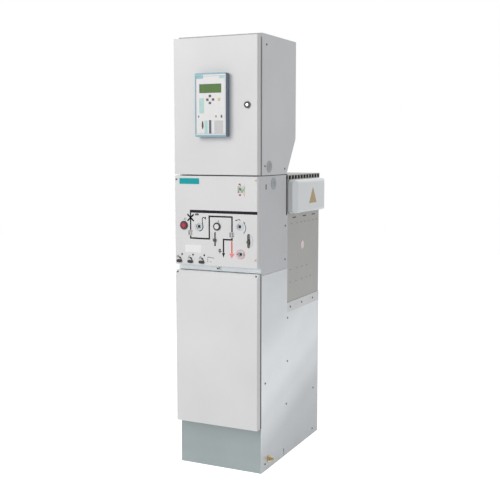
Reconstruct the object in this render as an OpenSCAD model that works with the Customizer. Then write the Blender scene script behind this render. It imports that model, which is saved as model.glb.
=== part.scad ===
// Modular medium-voltage switchgear panel with a low-voltage compartment on top.
// The front plane of the door, the control board and the cable cover faces -Y.
// The origin lies on the floor, at the centre of the four floor fixing holes.

/* [Panel] */
// Width of one panel
panel_w = 430; // [420:5:560]
// Depth from the front plane to the rear wall
panel_d = 775; // [760:5:900]
// Height of the seam under the low-voltage compartment
lower_h = 1400; // [1380:10:1600]
// Height of the low-voltage compartment above that seam
lv_h = 640; // [560:10:900]
// Thickness of the painted sheet
sheet = 2; // [1.5:0.5:3]
// Radius of the pressed front edges of door, board and cover
edge_r = 4; // [3.5:0.5:8]
// Dark joint left between neighbouring casings
seam = 4; // [3:1:8]

/* [Lower casing] */
// Height of the plinth below the cable cover
plinth_h = 217; // [160:1:260]
// Recess of the plinth behind the front plane
plinth_recess = 45; // [40:1:80]
// Depth of the cable cover's pan
cover_d = 32; // [24:1:50]
// Width of the recessed joint between the cover and the side walls
joint_w = 12; // [4:1:14]
// Height of the sloped band at the top of the cable cover
cover_slope_h = 17; // [5:1:40]
// Setback of the cable cover's top edge
cover_slope_d = 11; // [4:1:25]
// Height of the control board
board_h = 417; // [400:1:440]
// Depth of the control board's returns
board_d = 25; // [15:1:40]
// Height of the recessed strip under the control board
strip_h = 28; // [20:1:40]
// Recess of that strip behind the front plane
strip_recess = 36; // [30:1:40]
// Radius of the largest cable that transformers and clamps take
cable_r = 27.5; // [22:0.5:30]
// Height of the ledge rail under the vessel
ledge_h = 48; // [30:1:60]
// Width of the ledge rail's seat
ledge_w = 30; // [20:1:40]
// Depth at which the vessel's front plate starts
vessel_depth = 347; // [335:1:360]
// Height of the base frame's web
base_h = 30; // [20:1:34]
// Width of the base frame's floor flange
base_flange = 42; // [34:1:60]
// Distance between the floor fixing holes across the panel
fix_x = 380; // [340:5:380]
// Distance between the floor fixing holes from front to back
fix_y = 600; // [500:10:610]
// Radius of a floor fixing hole
fix_hole_r = 7; // [5:0.5:9]

/* [Vessel] */
// Height of the welded stainless vessel
vessel_h = 605; // [595:5:640]
// Wall of the vessel
vessel_t = 3; // [2:0.5:4]
// Recess of the vessel's sides behind the side sheets
vessel_inset = 3; // [2:0.5:6]
// Height of the vented roof over the vessel
roof_h = 25; // [20:1:40]
// Pitch of the vent slots in that roof
vent_pitch = 38; // [30:1:48]
// Width of a vent slot
vent_w = 26; // [16:1:28]
// Distance of the first phase behind the vessel's front plate
first_phase = 83; // [80:1:90]
// Distance of the last phase before the vessel's rear face
last_phase = 85; // [75:1:95]
// Drop of the busbars below the seam
busbar_drop = 110; // [100:1:120]
// Radius of a busbar
busbar_r = 12.5; // [10:0.5:14]
// Radius of a busbar bushing's body
bushing_r = 34; // [28:1:40]
// Depth of the busbar end cap
cap_d = 418; // [400:1:420]
// Height of the busbar end cap
cap_h = 165; // [150:1:166]
// Projection of the busbar end cap beyond the vessel
cap_out = 44; // [40:1:60]
// Radius of the busbar end cap's round corners
cap_r = 46; // [30:1:60]
// Radius of the busbar end cap's long outer edges
cap_edge_r = 20; // [10:1:28]
// Wall of the busbar end cap
cap_t = 3; // [2:0.5:5]

/* [Controls] */
// Radius of the OFF button
off_r = 15; // [12:0.5:18]
// Radius of the ON button's pale centre
on_r = 11.5; // [10:0.5:15]
// Travel of a push button
press = 5; // [3:0.5:7]
// Radius of an operating shaft at its socket
drive_r = 13; // [12:0.5:14]
// Width of the square socket in an operating shaft
socket_w = 13; // [10:0.5:14]
// Depth of that socket
socket_depth = 26; // [15:1:40]
// Running clearance of a shaft in its bearing
run_gap = 0.05; // [0.02:0.01:0.1]
// Clearance between pieces that pass each other
pass_gap = 0.4; // [0.3:0.1:1]
// Travel of a locking gate
gate_travel = 44; // [30:1:50]

/* [Low-voltage compartment] */
// Depth of the compartment's body behind the front plane
lv_depth = 442; // [420:2:500]
// Depth of its floor, below the chamfered rear edge
lv_floor_depth = 332; // [320:2:400]
// Height of the chamfer above the seam
lv_chamfer_h = 174; // [120:2:200]
// Depth of the door's pan
door_d = 33; // [31:1:33]
// Drop of the door's top edge below the roof
door_drop = 12; // [8:1:20]
// Width of the protection relay
relay_w = 158; // [140:1:170]
// Height of the protection relay's front
relay_h = 286; // [260:1:300]
// Projection of the relay's front before the door
relay_out = 34; // [25:1:45]
// Depth of the relay's case behind the door
relay_case_d = 150; // [100:5:180]

/* [Hidden] */
$fn = 48;
half_w = panel_w / 2;
front = -panel_d / 2;
rear = panel_d / 2;
roof_z = lower_h + lv_h;
board_z = lower_h - board_h;
strip_z = board_z - strip_h;
cover_top = strip_z - sheet;
cover_bottom = plinth_h + 3;
housing_z = board_z - 38;
wall_top = housing_z - sheet;
vessel_half = half_w - vessel_inset;
vessel_front = front + vessel_depth;
wall_rear = rear - sheet;
vessel_top = lower_h - roof_h;
ledge_z = vessel_top - vessel_h;
wall_front = front + cover_d + joint_w;
mech_plate = 3;
mech_front = front + 60;
mech_rear = vessel_front - 29;
shaft_end = mech_rear + mech_plate;
cut = 1;

// Earthing bolt and busbar end caps
bolt_depth = 130;
bolt_z = 48;
bolt_hole_r = 6.5;
notch_depth = 311;
cap_front = front + 361;
cap_bottom = vessel_top - cap_h;
plug_r = 25;

// Three-position switch, busbars and interrupters
shaft_r = 12;
sleeve_r = 18;
boss_r = 22;
boss_len = 14;
switch_x = 85;
switch_z = lower_h - 268;
busbar_z = lower_h - busbar_drop;
bushing_t = 9;
phase_pitch = (rear - last_phase - vessel_front - first_phase) / 2;
phase_y = [for (k = [0 : 2]) vessel_front + first_phase + k * phase_pitch];
contact_t = 8;
blade_len = busbar_z - switch_z - 53;
blade_hub_r = 24;
collector_z = switch_z - blade_hub_r - 0.5;
carrier_t = 12;
carrier_z = collector_z - 214.5;
crossbar_drop = 100;
stem_r = 9;
lift_z = lower_h - 400;
lift_hole_r = 19;

// Fittings on the control board
off_x = -166;
on_x = 9;
button_z = lower_h - 232;
collar_h = 5;
collar_len = press + 5;
drives = [[-86, lower_h - 235], [125, lower_h - 229], [130, lower_h - 356]];
flag_x = -131;
flag_z = lower_h - 266;
windows = [[flag_x, flag_z], [switch_x, switch_z]];
gates = [[-2, lower_h - 291], [171, lower_h - 293]];
gate_slots = [4, 7.5];
gate_half = gate_travel / 2 + 11;
gate_start = gate_travel / 2 + 3;
gas_x = 135;
gas_z = lower_h - 60;
test_x = [-192, -133, -73];
test_z = board_z + 15;
spring_x = -140;

// Cable compartment
cable_y = front + 240;
cable_pitch = 110;
bushing_z = ledge_z + 90;
stud_r = 8;
stud_len = 22;
ct_z = 560;
ct_r = 50;
clamp_z = 330;

// Low-voltage compartment and its door
lv_front = front + 48;
lv_bottom = lower_h + seam;
door_bottom = lv_bottom + 2;
door_top = roof_z - door_drop;
neck_half = half_w - 14;
neck_bottom = door_bottom + 14;
neck_top = door_top - 14;
neck_front = front + 8;
hinge_x = -half_w + 8;
hinge_y = front + 38;
hinge_len = 25;
hinge_zs = [lv_bottom + 86, roof_z - 140];
lock_x = half_w - 50;
lock_z = lower_h + 321;
cam_len = neck_half - lock_x + 6;
relay_x = -5;
relay_z = lower_h + 322;
key_size = [11, 9];
keys = [[-3, 40], [-16, 24], [13, 24], [-3, 9], [43, 24]];
plate_y = front + lv_depth - sheet - 15;
rail_zs = [roof_z - 140, roof_z - 320];
rail_d = 7.5;
lock_r = 11;
toggle_x = [-60, -22];
toggle_half = 17.9;
toggle_z = rail_zs[0];
toggle_y = plate_y - rail_d - 56;
breaker_outline = let (y = plate_y - rail_d, z = rail_zs[0])
    [[y, z - 42], [y, z + 42], [y - 44, z + 42], [y - 44, z + 22], [y - 62, z + 22],
        [y - 62, z - 22], [y - 44, z - 22], [y - 44, z - 42]];

// A block between two corners
module block(x0, x1, y0, y1, z0, z1) {
    translate([x0, y0, z0]) cube([x1 - x0, y1 - y0, z1 - z0]);
}

// A round bar along X, Y or Z
module bar_x(r, x0, x1, y, z) {
    translate([x0, y, z]) rotate([0, 90, 0]) cylinder(r = r, h = x1 - x0);
}

module bar_y(r, y0, y1, x, z) {
    translate([x, y1, z]) rotate([90, 0, 0]) cylinder(r = r, h = y1 - y0);
}

module bar_z(r, z0, z1, x, y) {
    translate([x, y, z0]) cylinder(r = r, h = z1 - z0);
}

// An outline drawn in Y and Z, drawn out along X
module along_x(x0, x1) {
    translate([x0, 0, 0]) rotate([90, 0, 90]) linear_extrude(x1 - x0) children();
}

// An outline drawn in X and Z, drawn out along Y
module along_y(y0, y1) {
    translate([0, y1, 0]) rotate([90, 0, 0]) linear_extrude(y1 - y0) children();
}

// The same shape on the left and on the right
module both_sides() {
    children();
    mirror([1, 0, 0]) children();
}

// A rectangle from a to b with round corners
module round_rect(a, b, r) {
    translate([a[0] + r, a[1]]) square([b[0] - a[0] - 2 * r, b[1] - a[1]]);
    translate([a[0], a[1] + r]) square([b[0] - a[0], b[1] - a[1] - 2 * r]);
    for (x = [a[0] + r, b[0] - r], y = [a[1] + r, b[1] - r]) translate([x, y]) circle(r);
}

// Plan of a pressed pan: round at its two front edges, straight behind
module pan_plan(w, d, r) {
    translate([-w / 2 + r, 0]) square([w - 2 * r, d]);
    translate([-w / 2, r]) square([w, d - r]);
    for (s = [-1, 1]) translate([s * (w / 2 - r), r]) circle(r);
}

// A pressed sheet pan, open to the rear
module pan(w, d, z0, z1) {
    translate([0, front, 0]) difference() {
        translate([0, 0, z0]) linear_extrude(z1 - z0) pan_plan(w, d, edge_r);
        translate([0, sheet, z0 + sheet]) linear_extrude(z1 - z0 - 2 * sheet)
            pan_plan(w - 2 * sheet, d, edge_r - sheet);
    }
}

// Lower casing

module base_frame() {
    x = half_w - sheet;
    y0 = front + plinth_recess + sheet;
    y1 = wall_rear;
    web = 3;
    color("#5b6064") difference() {
        union() {
            difference() {
                block(-x, x, y0, y1, 0, base_h);
                block(-x + web, x - web, y0 + web, y1 - web, -cut, base_h + cut);
            }
            difference() {
                block(-x, x, y0, y1, 0, web);
                block(-x + base_flange, x - base_flange, y0 + base_flange, y1 - base_flange,
                    -cut, web + cut);
            }
        }
        for (x = [-fix_x / 2, fix_x / 2], y = [-fix_y / 2, fix_y / 2])
            bar_z(fix_hole_r, -cut, web + cut, x, y);
    }
}

module plinth_front() {
    x = half_w - sheet;
    y0 = front + plinth_recess;
    lip = 14;
    color("#a7acb2") {
        block(-x, x, y0, y0 + sheet, 0, plinth_h);
        block(-x, x, y0 + sheet, y0 + sheet + lip, plinth_h - sheet, plinth_h);
    }
}

// Side wall: high in front, low behind where the ledge rail tops it
module side_wall() {
    step = vessel_front;
    flange = 14;
    x1 = half_w;
    x0 = half_w - sheet;
    difference() {
        union() {
            along_x(x0, x1) polygon([[wall_front, 0], [rear, 0], [rear, ledge_z - ledge_h],
                [step, ledge_z - ledge_h], [step, wall_top], [wall_front, wall_top]]);
            block(x0 - flange, x0, wall_front, wall_front + sheet, cover_bottom, wall_top);
            block(x0 - flange, x0 - flange + sheet, front + cover_d + 0.3, wall_front + 1,
                cover_bottom, wall_top);
            block(x0 - flange, x0, wall_front, step - flange, wall_top - sheet, wall_top);
        }
        bar_x(bolt_hole_r, x0 - cut, x1 + cut, front + bolt_depth, bolt_z);
        block(x0 - cut, x1 + cut, front + notch_depth - 4, front + notch_depth + 4, 12, 40);
    }
}

module side_wall_left() {
    color("#c3c6ca") mirror([1, 0, 0]) side_wall();
}

module side_wall_right() {
    color("#c3c6ca") side_wall();
}

module ledge_rails() {
    web = 3;
    z0 = ledge_z - ledge_h;
    color("#d8dadc") both_sides() along_y(vessel_front, rear) difference() {
        translate([half_w - ledge_w, z0]) square([ledge_w, ledge_h]);
        translate([half_w - ledge_w - cut, z0 + web]) square([ledge_w - web + cut, ledge_h - 2 * web]);
    }
}

module rear_wall() {
    x = half_w - sheet;
    bead = 8;
    color("#b9bcbf") {
        block(-x, x, rear - sheet, rear, 0, ledge_z - ledge_h);
        block(-half_w + ledge_w, half_w - ledge_w, rear - sheet, rear, ledge_z - ledge_h - 1, ledge_z);
        for (z = [160 : 150 : ledge_z - ledge_h - 60])
            block(-x + 40, x - 40, rear - sheet - bead, rear - sheet, z, z + 24);
    }
}

module cable_cover() {
    z1 = cover_top - cover_slope_h;
    back = front + cover_d;
    color("#d9d9da") difference() {
        intersection() {
            translate([0, front, cover_bottom]) linear_extrude(cover_top - cover_bottom)
                pan_plan(panel_w, cover_d, edge_r);
            along_x(-half_w, half_w) polygon([[front, cover_bottom], [back, cover_bottom],
                [back, cover_top], [front + cover_slope_d, cover_top], [front, z1]]);
        }
        along_x(-half_w + sheet, half_w - sheet) polygon([[front + sheet, cover_bottom + sheet],
            [back + cut, cover_bottom + sheet], [back + cut, cover_top - sheet],
            [front + cover_slope_d + sheet, cover_top - sheet], [front + sheet, z1 - sheet / 2]]);
        for (x = [-206, 206]) bar_y(3.5, front - cut, front + 9, x, cover_top - cover_slope_h / 2);
    }
}

module ledge_strip() {
    x = half_w - sheet;
    y0 = front + strip_recess;
    color("#c9ccd2") difference() {
        union() {
            block(-half_w, half_w, y0, y0 + sheet, strip_z, board_z);
            block(-x, x, y0 + sheet, wall_front + sheet, strip_z, strip_z + sheet);
            block(-x, x, front + board_d - sheet, y0, board_z - sheet, board_z);
        }
        bar_y(3, y0 - cut, y0 + sheet + cut, 0, (strip_z + board_z) / 2);
    }
}

// Vessel, roof and busbar caps

// A bearing boss on a wall of the vessel
module shaft_boss(y0) {
    bar_y(boss_r, y0, y0 + boss_len, switch_x, switch_z);
}

module vessel() {
    x = vessel_half;
    t = vessel_t;
    color("#9d9c99") difference() {
        union() {
            difference() {
                block(-x, x, vessel_front, rear, ledge_z, vessel_top);
                block(-x + t, x - t, vessel_front + t, rear - t, ledge_z + t, vessel_top - t);
            }
            shaft_boss(vessel_front + t - 1);
            shaft_boss(rear - t - boss_len + 1);
        }
        bar_y(shaft_r + run_gap, vessel_front - cut, rear - t, switch_x, switch_z);
        bar_y(lift_hole_r, vessel_front - cut, vessel_front + t + cut, switch_x, lift_z);
        for (y = phase_y) bar_x(busbar_r + bushing_t + 0.2, -half_w, half_w, y, busbar_z);
    }
}

module control_housing() {
    x = half_w - sheet;
    y0 = front + board_d + sheet;
    y1 = front + strip_recess + sheet;
    y_cap = cap_front - 34;
    lip = 14;
    color("#aeb0b3") difference() {
        union() {
            both_sides() along_x(x, half_w) polygon([[wall_front, housing_z],
                [vessel_front, housing_z], [vessel_front, cap_bottom - 5], [y_cap, cap_bottom - 5],
                [y_cap, lower_h], [y0, lower_h], [y0, board_z], [y1, board_z], [y1, strip_z],
                [wall_front, strip_z]]);
            block(-x, x, wall_front, vessel_front, wall_top, housing_z + 0.5);
            block(-x, x, y0, vessel_front, lower_h - sheet, lower_h);
            both_sides() {
                block(x - 22, x + 1, y_cap - sheet, y_cap, cap_bottom - 5, lower_h);
                block(x - 22, x - 22 + sheet, y_cap - 1, vessel_front, cap_bottom - 5, lower_h);
            }
            difference() {
                block(-x - 1, x + 1, y0 - sheet, y0 + 1, board_z + 1, lower_h - 1);
                block(-x + lip, x - lip, y0 - sheet - cut, y0 + 1 + cut, board_z + lip, lower_h - lip);
            }
        }
        both_sides() {
            bar_x(plug_r + 0.3, x - cut, half_w + cut, front + 177, lower_h - 36);
            block(x - cut, half_w + cut, front + 90, front + 95, lower_h - 60, lower_h - 38);
        }
    }
}

// Openings in the control board for buttons, drives, gates and windows
module board_cutouts() {
    y0 = front - cut;
    y1 = front + sheet + cut;
    bar_y(collar_neck(off_r) + 0.2, y0, y1, off_x, button_z);
    bar_y(collar_neck(on_r) + 0.2, y0, y1, on_x, button_z);
    for (p = drives) bar_y(drive_r + 1, y0, y1, p[0], p[1]);
    for (p = windows) block(p[0] - 12, p[0] + 12, y0, y1, p[1] - 11, p[1] + 11);
    for (k = [0, 1]) along_y(y0, y1) round_rect(
        [gates[k][0] - gate_slots[k], gates[k][1] - gate_half],
        [gates[k][0] + gate_slots[k], gates[k][1] + gate_half], gate_slots[k] - 0.01);
    block(gas_x - 19, gas_x + 19, y0, y1, gas_z - 15, gas_z + 15);
    for (x = test_x, s = [-1, 1]) bar_y(4.2, y0, y1, x + s * 7, test_z);
}

module control_board() {
    color("#d9d9da") difference() {
        pan(panel_w, board_d, board_z, lower_h);
        board_cutouts();
    }
}

module busbar_roof() {
    x = half_w - sheet;
    flange = 16;
    color("#c6c8ca") {
        block(-half_w, half_w, vessel_front, rear, lower_h - sheet, lower_h);
        both_sides() difference() {
            union() {
                block(x, half_w, vessel_front, rear, vessel_top, lower_h - sheet);
                block(x - flange, x, vessel_front, rear, vessel_top, vessel_top + sheet);
            }
            for (y = [vessel_front + 14 : vent_pitch : rear - 8 - vent_w])
                block(x - cut, half_w + cut, y, y + vent_w, vessel_top + 3, lower_h - 4);
        }
        block(-x, x, rear - sheet, rear, vessel_top, lower_h - sheet);
    }
}

// Outside form of a busbar end cap, drawn in by o on every side
module cap_form(o, x0) {
    a = [cap_front + o, cap_bottom + o];
    b = [cap_front + cap_d - o, vessel_top - o];
    x1 = vessel_half + cap_out - o;
    r = cap_r - o;
    bevel = 22;
    intersection() {
        along_x(x0, x1) {
            round_rect(a, b, r);
            round_rect(a, [a[0] + 3 * r, b[1]], cap_edge_r - o);
        }
        along_y(a[0], b[0]) round_rect([x0 - r, a[1]], [x1, b[1]], cap_edge_r - o);
        translate([0, 0, cap_bottom]) linear_extrude(cap_h) difference() {
            polygon([[x0, a[0]], [x1 - bevel, a[0]], [x1, a[0] + bevel], [x1, b[0]], [x0, b[0]]]);
            translate([x1 - r, b[0] - r]) difference() {
                square(r + cut);
                circle(r);
            }
        }
    }
}

module busbar_cap() {
    color("#c5c9cb") difference() {
        cap_form(0, vessel_half);
        cap_form(cap_t, vessel_half - cut);
    }
}

module busbar_caps() {
    both_sides() busbar_cap();
}

// Pan-head screws seated on the side sheets, and on the front of board and cover
module sheet_screws() {
    head_r = 4.5;
    head_h = 2.2;
    rows = [[88, 427], [353, 695], [353, 477], [342, 262], [705, 254], [697, 31], [88, 34],
        [316, 991], [319, 1155]];
    lv_rows = [[96, 593], [307, 31], [79, 46]];
    color("#8b8e90") {
        both_sides() {
            for (p = rows) bar_x(head_r, half_w, half_w + head_h, front + p[0], p[1]);
            for (p = lv_rows) bar_x(head_r, half_w, half_w + head_h, front + p[0], lower_h + p[1]);
            for (y = [vessel_front + 40 : 150 : rear - 40])
                bar_x(head_r, half_w, half_w + head_h, y, ledge_z - ledge_h / 2);
        }
        for (x = [-205, 205], z = [board_z + 37, lower_h - 17])
            bar_y(head_r, front - head_h, front, x, z);
    }
}

// Brass earthing bolt through the side wall, with washer and nut
module earth_bolt() {
    x0 = half_w - sheet;
    y = front + bolt_depth;
    color("#c09a4a") {
        bar_x(6, x0 - 26, half_w + 30, y, bolt_z);
        bar_x(18, half_w, half_w + 2.5, y, bolt_z);
        translate([half_w + 2.5, y, bolt_z]) rotate([0, 90, 0]) cylinder(r = 10.5, h = 10, $fn = 6);
        translate([x0 - 10, y, bolt_z]) rotate([0, 90, 0]) cylinder(r = 10.5, h = 10, $fn = 6);
    }
}

// Inside the vessel

module busbars() {
    end = vessel_half + cap_out - cap_t - 12;
    color("#b87333") for (y = phase_y) bar_x(busbar_r, -end, end, y, busbar_z);
}

// Busbar bushing: flange outside the vessel wall, ribbed body inside
module busbar_bushing(y) {
    x = vessel_half;
    neck = busbar_r + bushing_t;
    difference() {
        union() {
            bar_x(bushing_r, x, x + 8, y, busbar_z);
            bar_x(neck, x - 46, x + 22, y, busbar_z);
            for (k = [0 : 2]) bar_x(neck + 6, x - 42 + k * 13, x - 38 + k * 13, y, busbar_z);
        }
        bar_x(busbar_r + 0.1, x - 47, x + 23, y, busbar_z);
    }
}

// Cable bushing: a cone that points forward into the cable compartment
module cable_bushing(x) {
    flange_t = 10;
    collar_t = 14;
    cone_len = 76;
    y0 = vessel_front - flange_t;
    y1 = y0 - collar_t;
    y2 = y1 - cone_len;
    bar_y(44, y0, vessel_front, x, bushing_z);
    bar_y(36, y1, y0, x, bushing_z);
    translate([x, y1, bushing_z]) rotate([90, 0, 0]) cylinder(r1 = 31, r2 = 23, h = cone_len);
    bar_y(stud_r, y2 - stud_len, y2, x, bushing_z);
}

module bushings() {
    color("#7a4a38") {
        for (y = phase_y) both_sides() busbar_bushing(y);
        for (x = [-cable_pitch, 0, cable_pitch]) cable_bushing(x);
    }
}

// Fixed contacts under the busbars, earthing contacts on their common rail
module switch_contacts() {
    half_t = contact_t / 2;
    rail_x = switch_x - blade_len - 40;
    color("#b87333") {
        for (y = phase_y) difference() {
            block(switch_x - 12, switch_x + 12, y - half_t, y + half_t,
                switch_z + blade_len - 25, busbar_z);
            bar_x(busbar_r + 0.1, switch_x - 20, switch_x + 20, y, busbar_z);
        }
        block(rail_x, rail_x + 20, vessel_front + vessel_t, rear - vessel_t,
            switch_z - 12, switch_z + 12);
        for (y = phase_y) block(rail_x + 20, rail_x + 65, y - half_t, y + half_t,
            switch_z - 12, switch_z + 12);
    }
}

// Ceramic bodies with their end flanges and collector blocks
module vacuum_interrupters() {
    z0 = carrier_z + carrier_t;
    z1 = z0 + 140;
    color("#e4e0d6") for (y = phase_y) difference() {
        union() {
            bar_z(30, z0, z0 + 8, switch_x, y);
            bar_z(38, z0 + 8, z1 - 8, switch_x, y);
            bar_z(30, z1 - 8, z1, switch_x, y);
            bar_z(10, z1, collector_z, switch_x, y);
            block(switch_x - 16, switch_x + 16, y - 14, y + 14, collector_z - 14, collector_z);
        }
        bar_z(stem_r + 0.2, z0 - cut, z0 + 20, switch_x, y);
    }
}

module interrupter_carrier() {
    y0 = vessel_front + vessel_t;
    y1 = rear - vessel_t;
    color("#8a5a3a") difference() {
        block(switch_x - 52, switch_x + 52, y0, y1, carrier_z, carrier_z + carrier_t);
        for (y = phase_y) bar_z(stem_r + 3, carrier_z - cut, carrier_z + carrier_t + cut, switch_x, y);
        block(switch_x - 14, switch_x + 14, y0 + 4, y0 + 24, carrier_z - cut,
            carrier_z + carrier_t + cut);
    }
}

// Crossbar that lifts the three moving contact stems together
module contact_crossbar() {
    z0 = carrier_z - crossbar_drop;
    z1 = z0 + 24;
    y0 = vessel_front + vessel_t + 8;
    color("#b5603a") {
        block(switch_x - 15, switch_x + 15, y0 + 12, phase_y[2] + 30, z0, z1);
        block(switch_x - 10, switch_x + 10, y0, y0 + 12, z0, lift_z + 8);
        bar_y(8, vessel_front - 60, y0, switch_x, lift_z);
        for (y = phase_y) bar_z(stem_r, z1, carrier_z + carrier_t + 19.5, switch_x, y);
    }
}

// Steel shaft with an insulating sleeve where it carries the blades
module switch_shaft() {
    y1 = rear - vessel_t - 0.5;
    color("#7d8286") {
        bar_y(shaft_r, front + 14, y1, switch_x, switch_z);
        bar_y(sleeve_r, vessel_front + vessel_t + boss_len, rear - vessel_t - boss_len,
            switch_x, switch_z);
        block(switch_x - 7, switch_x + 7, front + 112, front + 120, switch_z, switch_z + 34);
        bar_y(10, front + 6, front + 14, switch_x, switch_z);
        block(switch_x - 3, switch_x + 3, front + 6, front + 8, switch_z - 12, switch_z + 12);
    }
}

// Two blades a phase, one on each side of the fixed contact
module switch_blades() {
    t = 4;
    inner = contact_t / 2 + pass_gap;
    color("#c98a4b") for (y = phase_y, s = [0, 1]) translate([0, y, 0]) mirror([0, s, 0])
        difference() {
            union() {
                along_y(inner, inner + t) {
                    translate([switch_x, switch_z]) circle(blade_hub_r);
                    translate([switch_x - 10, switch_z]) square([20, blade_len - 10]);
                    translate([switch_x, switch_z + blade_len - 10]) circle(10);
                }
            }
            bar_y(sleeve_r + 0.1, 0, inner + t + cut, switch_x, switch_z);
        }
}

// Operating mechanism

module mechanism_frame() {
    plate = mech_plate;
    y0 = mech_front;
    y1 = mech_rear;
    z0 = board_z + 42;
    z1 = lower_h - 22;
    x = half_w - 28;
    color("#9aa0a4") difference() {
        union() {
            block(-x, x, y0, y0 + plate, z0, z1);
            block(-x, x, y1, y1 + plate, z0, z1);
            for (sx = [-x + 14, x - 14], z = [z0 + 14, z1 - 14]) {
                bar_y(9, y0 + 1, vessel_front, sx, z);
                block(sx - 12, sx + 12, vessel_front - 4, vessel_front, z - 14, z + 14);
            }
            block(flag_x - 16, flag_x - 10.4, front + 6, y0 + 1, flag_z - 8, flag_z + 8);
            block(flag_x + 10.4, flag_x + 16, front + 6, y0 + 1, flag_z - 8, flag_z + 8);
        }
        for (p = drives) bar_y(drive_r + run_gap, y0 - cut, vessel_front, p[0], p[1]);
        bar_y(shaft_r + run_gap, y0 - cut, vessel_front, switch_x, switch_z);
    }
    color("#565b5f") closing_spring();
}

// Closing spring: a close-wound tension spring between two brackets
module closing_spring() {
    turns = 15;
    wire_r = 4;
    pitch = 2 * wire_r - 0.3;
    length = (turns - 1) * pitch + 2 * wire_r;
    coil_r = 18;
    seat_t = 6;
    translate([spring_x, front + 250, board_z + 130]) {
        for (k = [0 : turns - 1]) translate([0, 0, wire_r + k * pitch]) rotate_extrude()
            translate([coil_r, 0]) circle(wire_r, $fn = 20);
        for (z = [-seat_t + 1, length - 1]) translate([0, 0, z]) {
            cylinder(r = coil_r + 2, h = seat_t);
            translate([-8, 0, 0]) cube([16, 68, seat_t]);
        }
    }
}

// Shaft with a square socket at its front end
module drive_shaft(p, y1) {
    w = socket_w / 2;
    difference() {
        bar_y(drive_r, front + 1, y1, p[0], p[1]);
        block(p[0] - w, p[0] + w, front, front + 1 + socket_depth, p[1] - w, p[1] + w);
    }
}

// Shaft of the spring charging drive, with its ratchet wheel
module charging_shaft() {
    p = drives[0];
    teeth = 20;
    r = 30;
    y0 = mech_front + 140;
    color("#8f9396") {
        drive_shaft(p, shaft_end);
        along_y(y0, y0 + 9) translate(p) polygon([for (k = [0 : teeth - 1], e = [0, 1])
            let (a = 360 * (k + e * 0.75) / teeth) (r - 5 * e) * [cos(a), sin(a)]]);
    }
}

// A drive shaft with its lever, which lies in its own layer of the mechanism
module lever_drive(p, angle, y0) {
    drive_shaft(p, shaft_end);
    translate([p[0], 0, p[1]]) rotate([0, angle, 0]) along_y(y0, y0 + 7) {
        translate([-7, 0]) square([14, 28]);
        translate([0, 28]) circle(7);
        circle(drive_r + 6);
    }
}

module disconnector_drive() {
    color("#8f9396") lever_drive(drives[1], 20, mech_front + 32);
}

module earthing_drive() {
    color("#8f9396") lever_drive(drives[2], -30, mech_front + 72);
}

// Sliding flag behind the breaker's position window
module breaker_flag() {
    color("#2b2d2f") {
        block(flag_x - 10, flag_x + 10, front + 6, front + 8, flag_z - 22, flag_z + 34);
    }
}

// Fittings on the control board

// Radius of a collar's neck around a button of radius r
function collar_neck(r) = r + 2.5;

module push_collar(x, r, rim) {
    difference() {
        union() {
            bar_y(r + rim, front - collar_h, front, x, button_z);
            bar_y(collar_neck(r), front - 1, front + collar_len, x, button_z);
        }
        bar_y(r + run_gap, front - collar_h - cut, front + collar_len + cut, x, button_z);
    }
}

module button_collars() {
    color("#232425") {
        push_collar(off_x, off_r, 5);
        push_collar(on_x, on_r, 7);
    }
}

module push_button(x, r) {
    bar_y(r, front - collar_h - 2, front + collar_len + pass_gap, x, button_z);
    bar_y(r + 2, front + collar_len + pass_gap, front + collar_len + pass_gap + 3, x, button_z);
}

module off_button() {
    color("#c8202f") push_button(off_x, off_r);
}

module on_button() {
    color("#cfd0d0") push_button(on_x, on_r);
}

// Escutcheon rings round the three drive sockets
module drive_rings() {
    color("#a9abad") for (p = drives) difference() {
        bar_y(drive_r + 5.5, front - 2, front, p[0], p[1]);
        bar_y(drive_r + 1, front - 2 - cut, front + cut, p[0], p[1]);
    }
}

// Locking gate: a knob in a vertical slot, on a plate behind the board
module locking_gate(p) {
    z = p[1] - gate_half + gate_slots[0] + gate_start;
    y0 = front + sheet + pass_gap;
    bar_y(7.5, front - 9, front - pass_gap, p[0], z);
    bar_y(gate_slots[0] - 0.5, front - pass_gap - 1, y0, p[0], z);
    block(p[0] - 11, p[0] + 11, y0, y0 + 2, z - 12, z + 12);
}

module gate_left() {
    color("#2a2b2c") locking_gate(gates[0]);
}

module gate_right() {
    color("#2a2b2c") locking_gate(gates[1]);
}

// Gas readiness indicator: a round body behind its window
module gas_indicator() {
    color("#3b4044") difference() {
        block(gas_x - 26, gas_x + 26, front + sheet, front + sheet + 30, gas_z - 24, gas_z + 24);
        block(gas_x - 22, gas_x + 22, front, front + sheet + 8, gas_z - 18, gas_z + 18);
        bar_y(2 + run_gap, front, front + sheet + 20, gas_x, gas_z - 10);
    }
}

module gas_pointer() {
    color("#c33f35") {
        bar_y(2, front + sheet + 3, front + sheet + 19, gas_x, gas_z - 10);
        translate([gas_x, 0, gas_z - 10]) rotate([0, 35, 0])
            block(-1.5, 1.5, front + sheet + 3, front + sheet + 5, 0, 20);
    }
}

// Capacitive test sockets, two a phase
module test_sockets() {
    color("#3a3c3e") for (x = test_x) difference() {
        union() {
            block(x - 15, x + 15, front + sheet, front + sheet + 14, test_z - 8, test_z + 8);
            for (s = [-1, 1]) bar_y(4, front, front + sheet + 1, x + s * 7, test_z);
        }
        for (s = [-1, 1]) bar_y(2, front - cut, front + 12, x + s * 7, test_z);
    }
}

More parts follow.
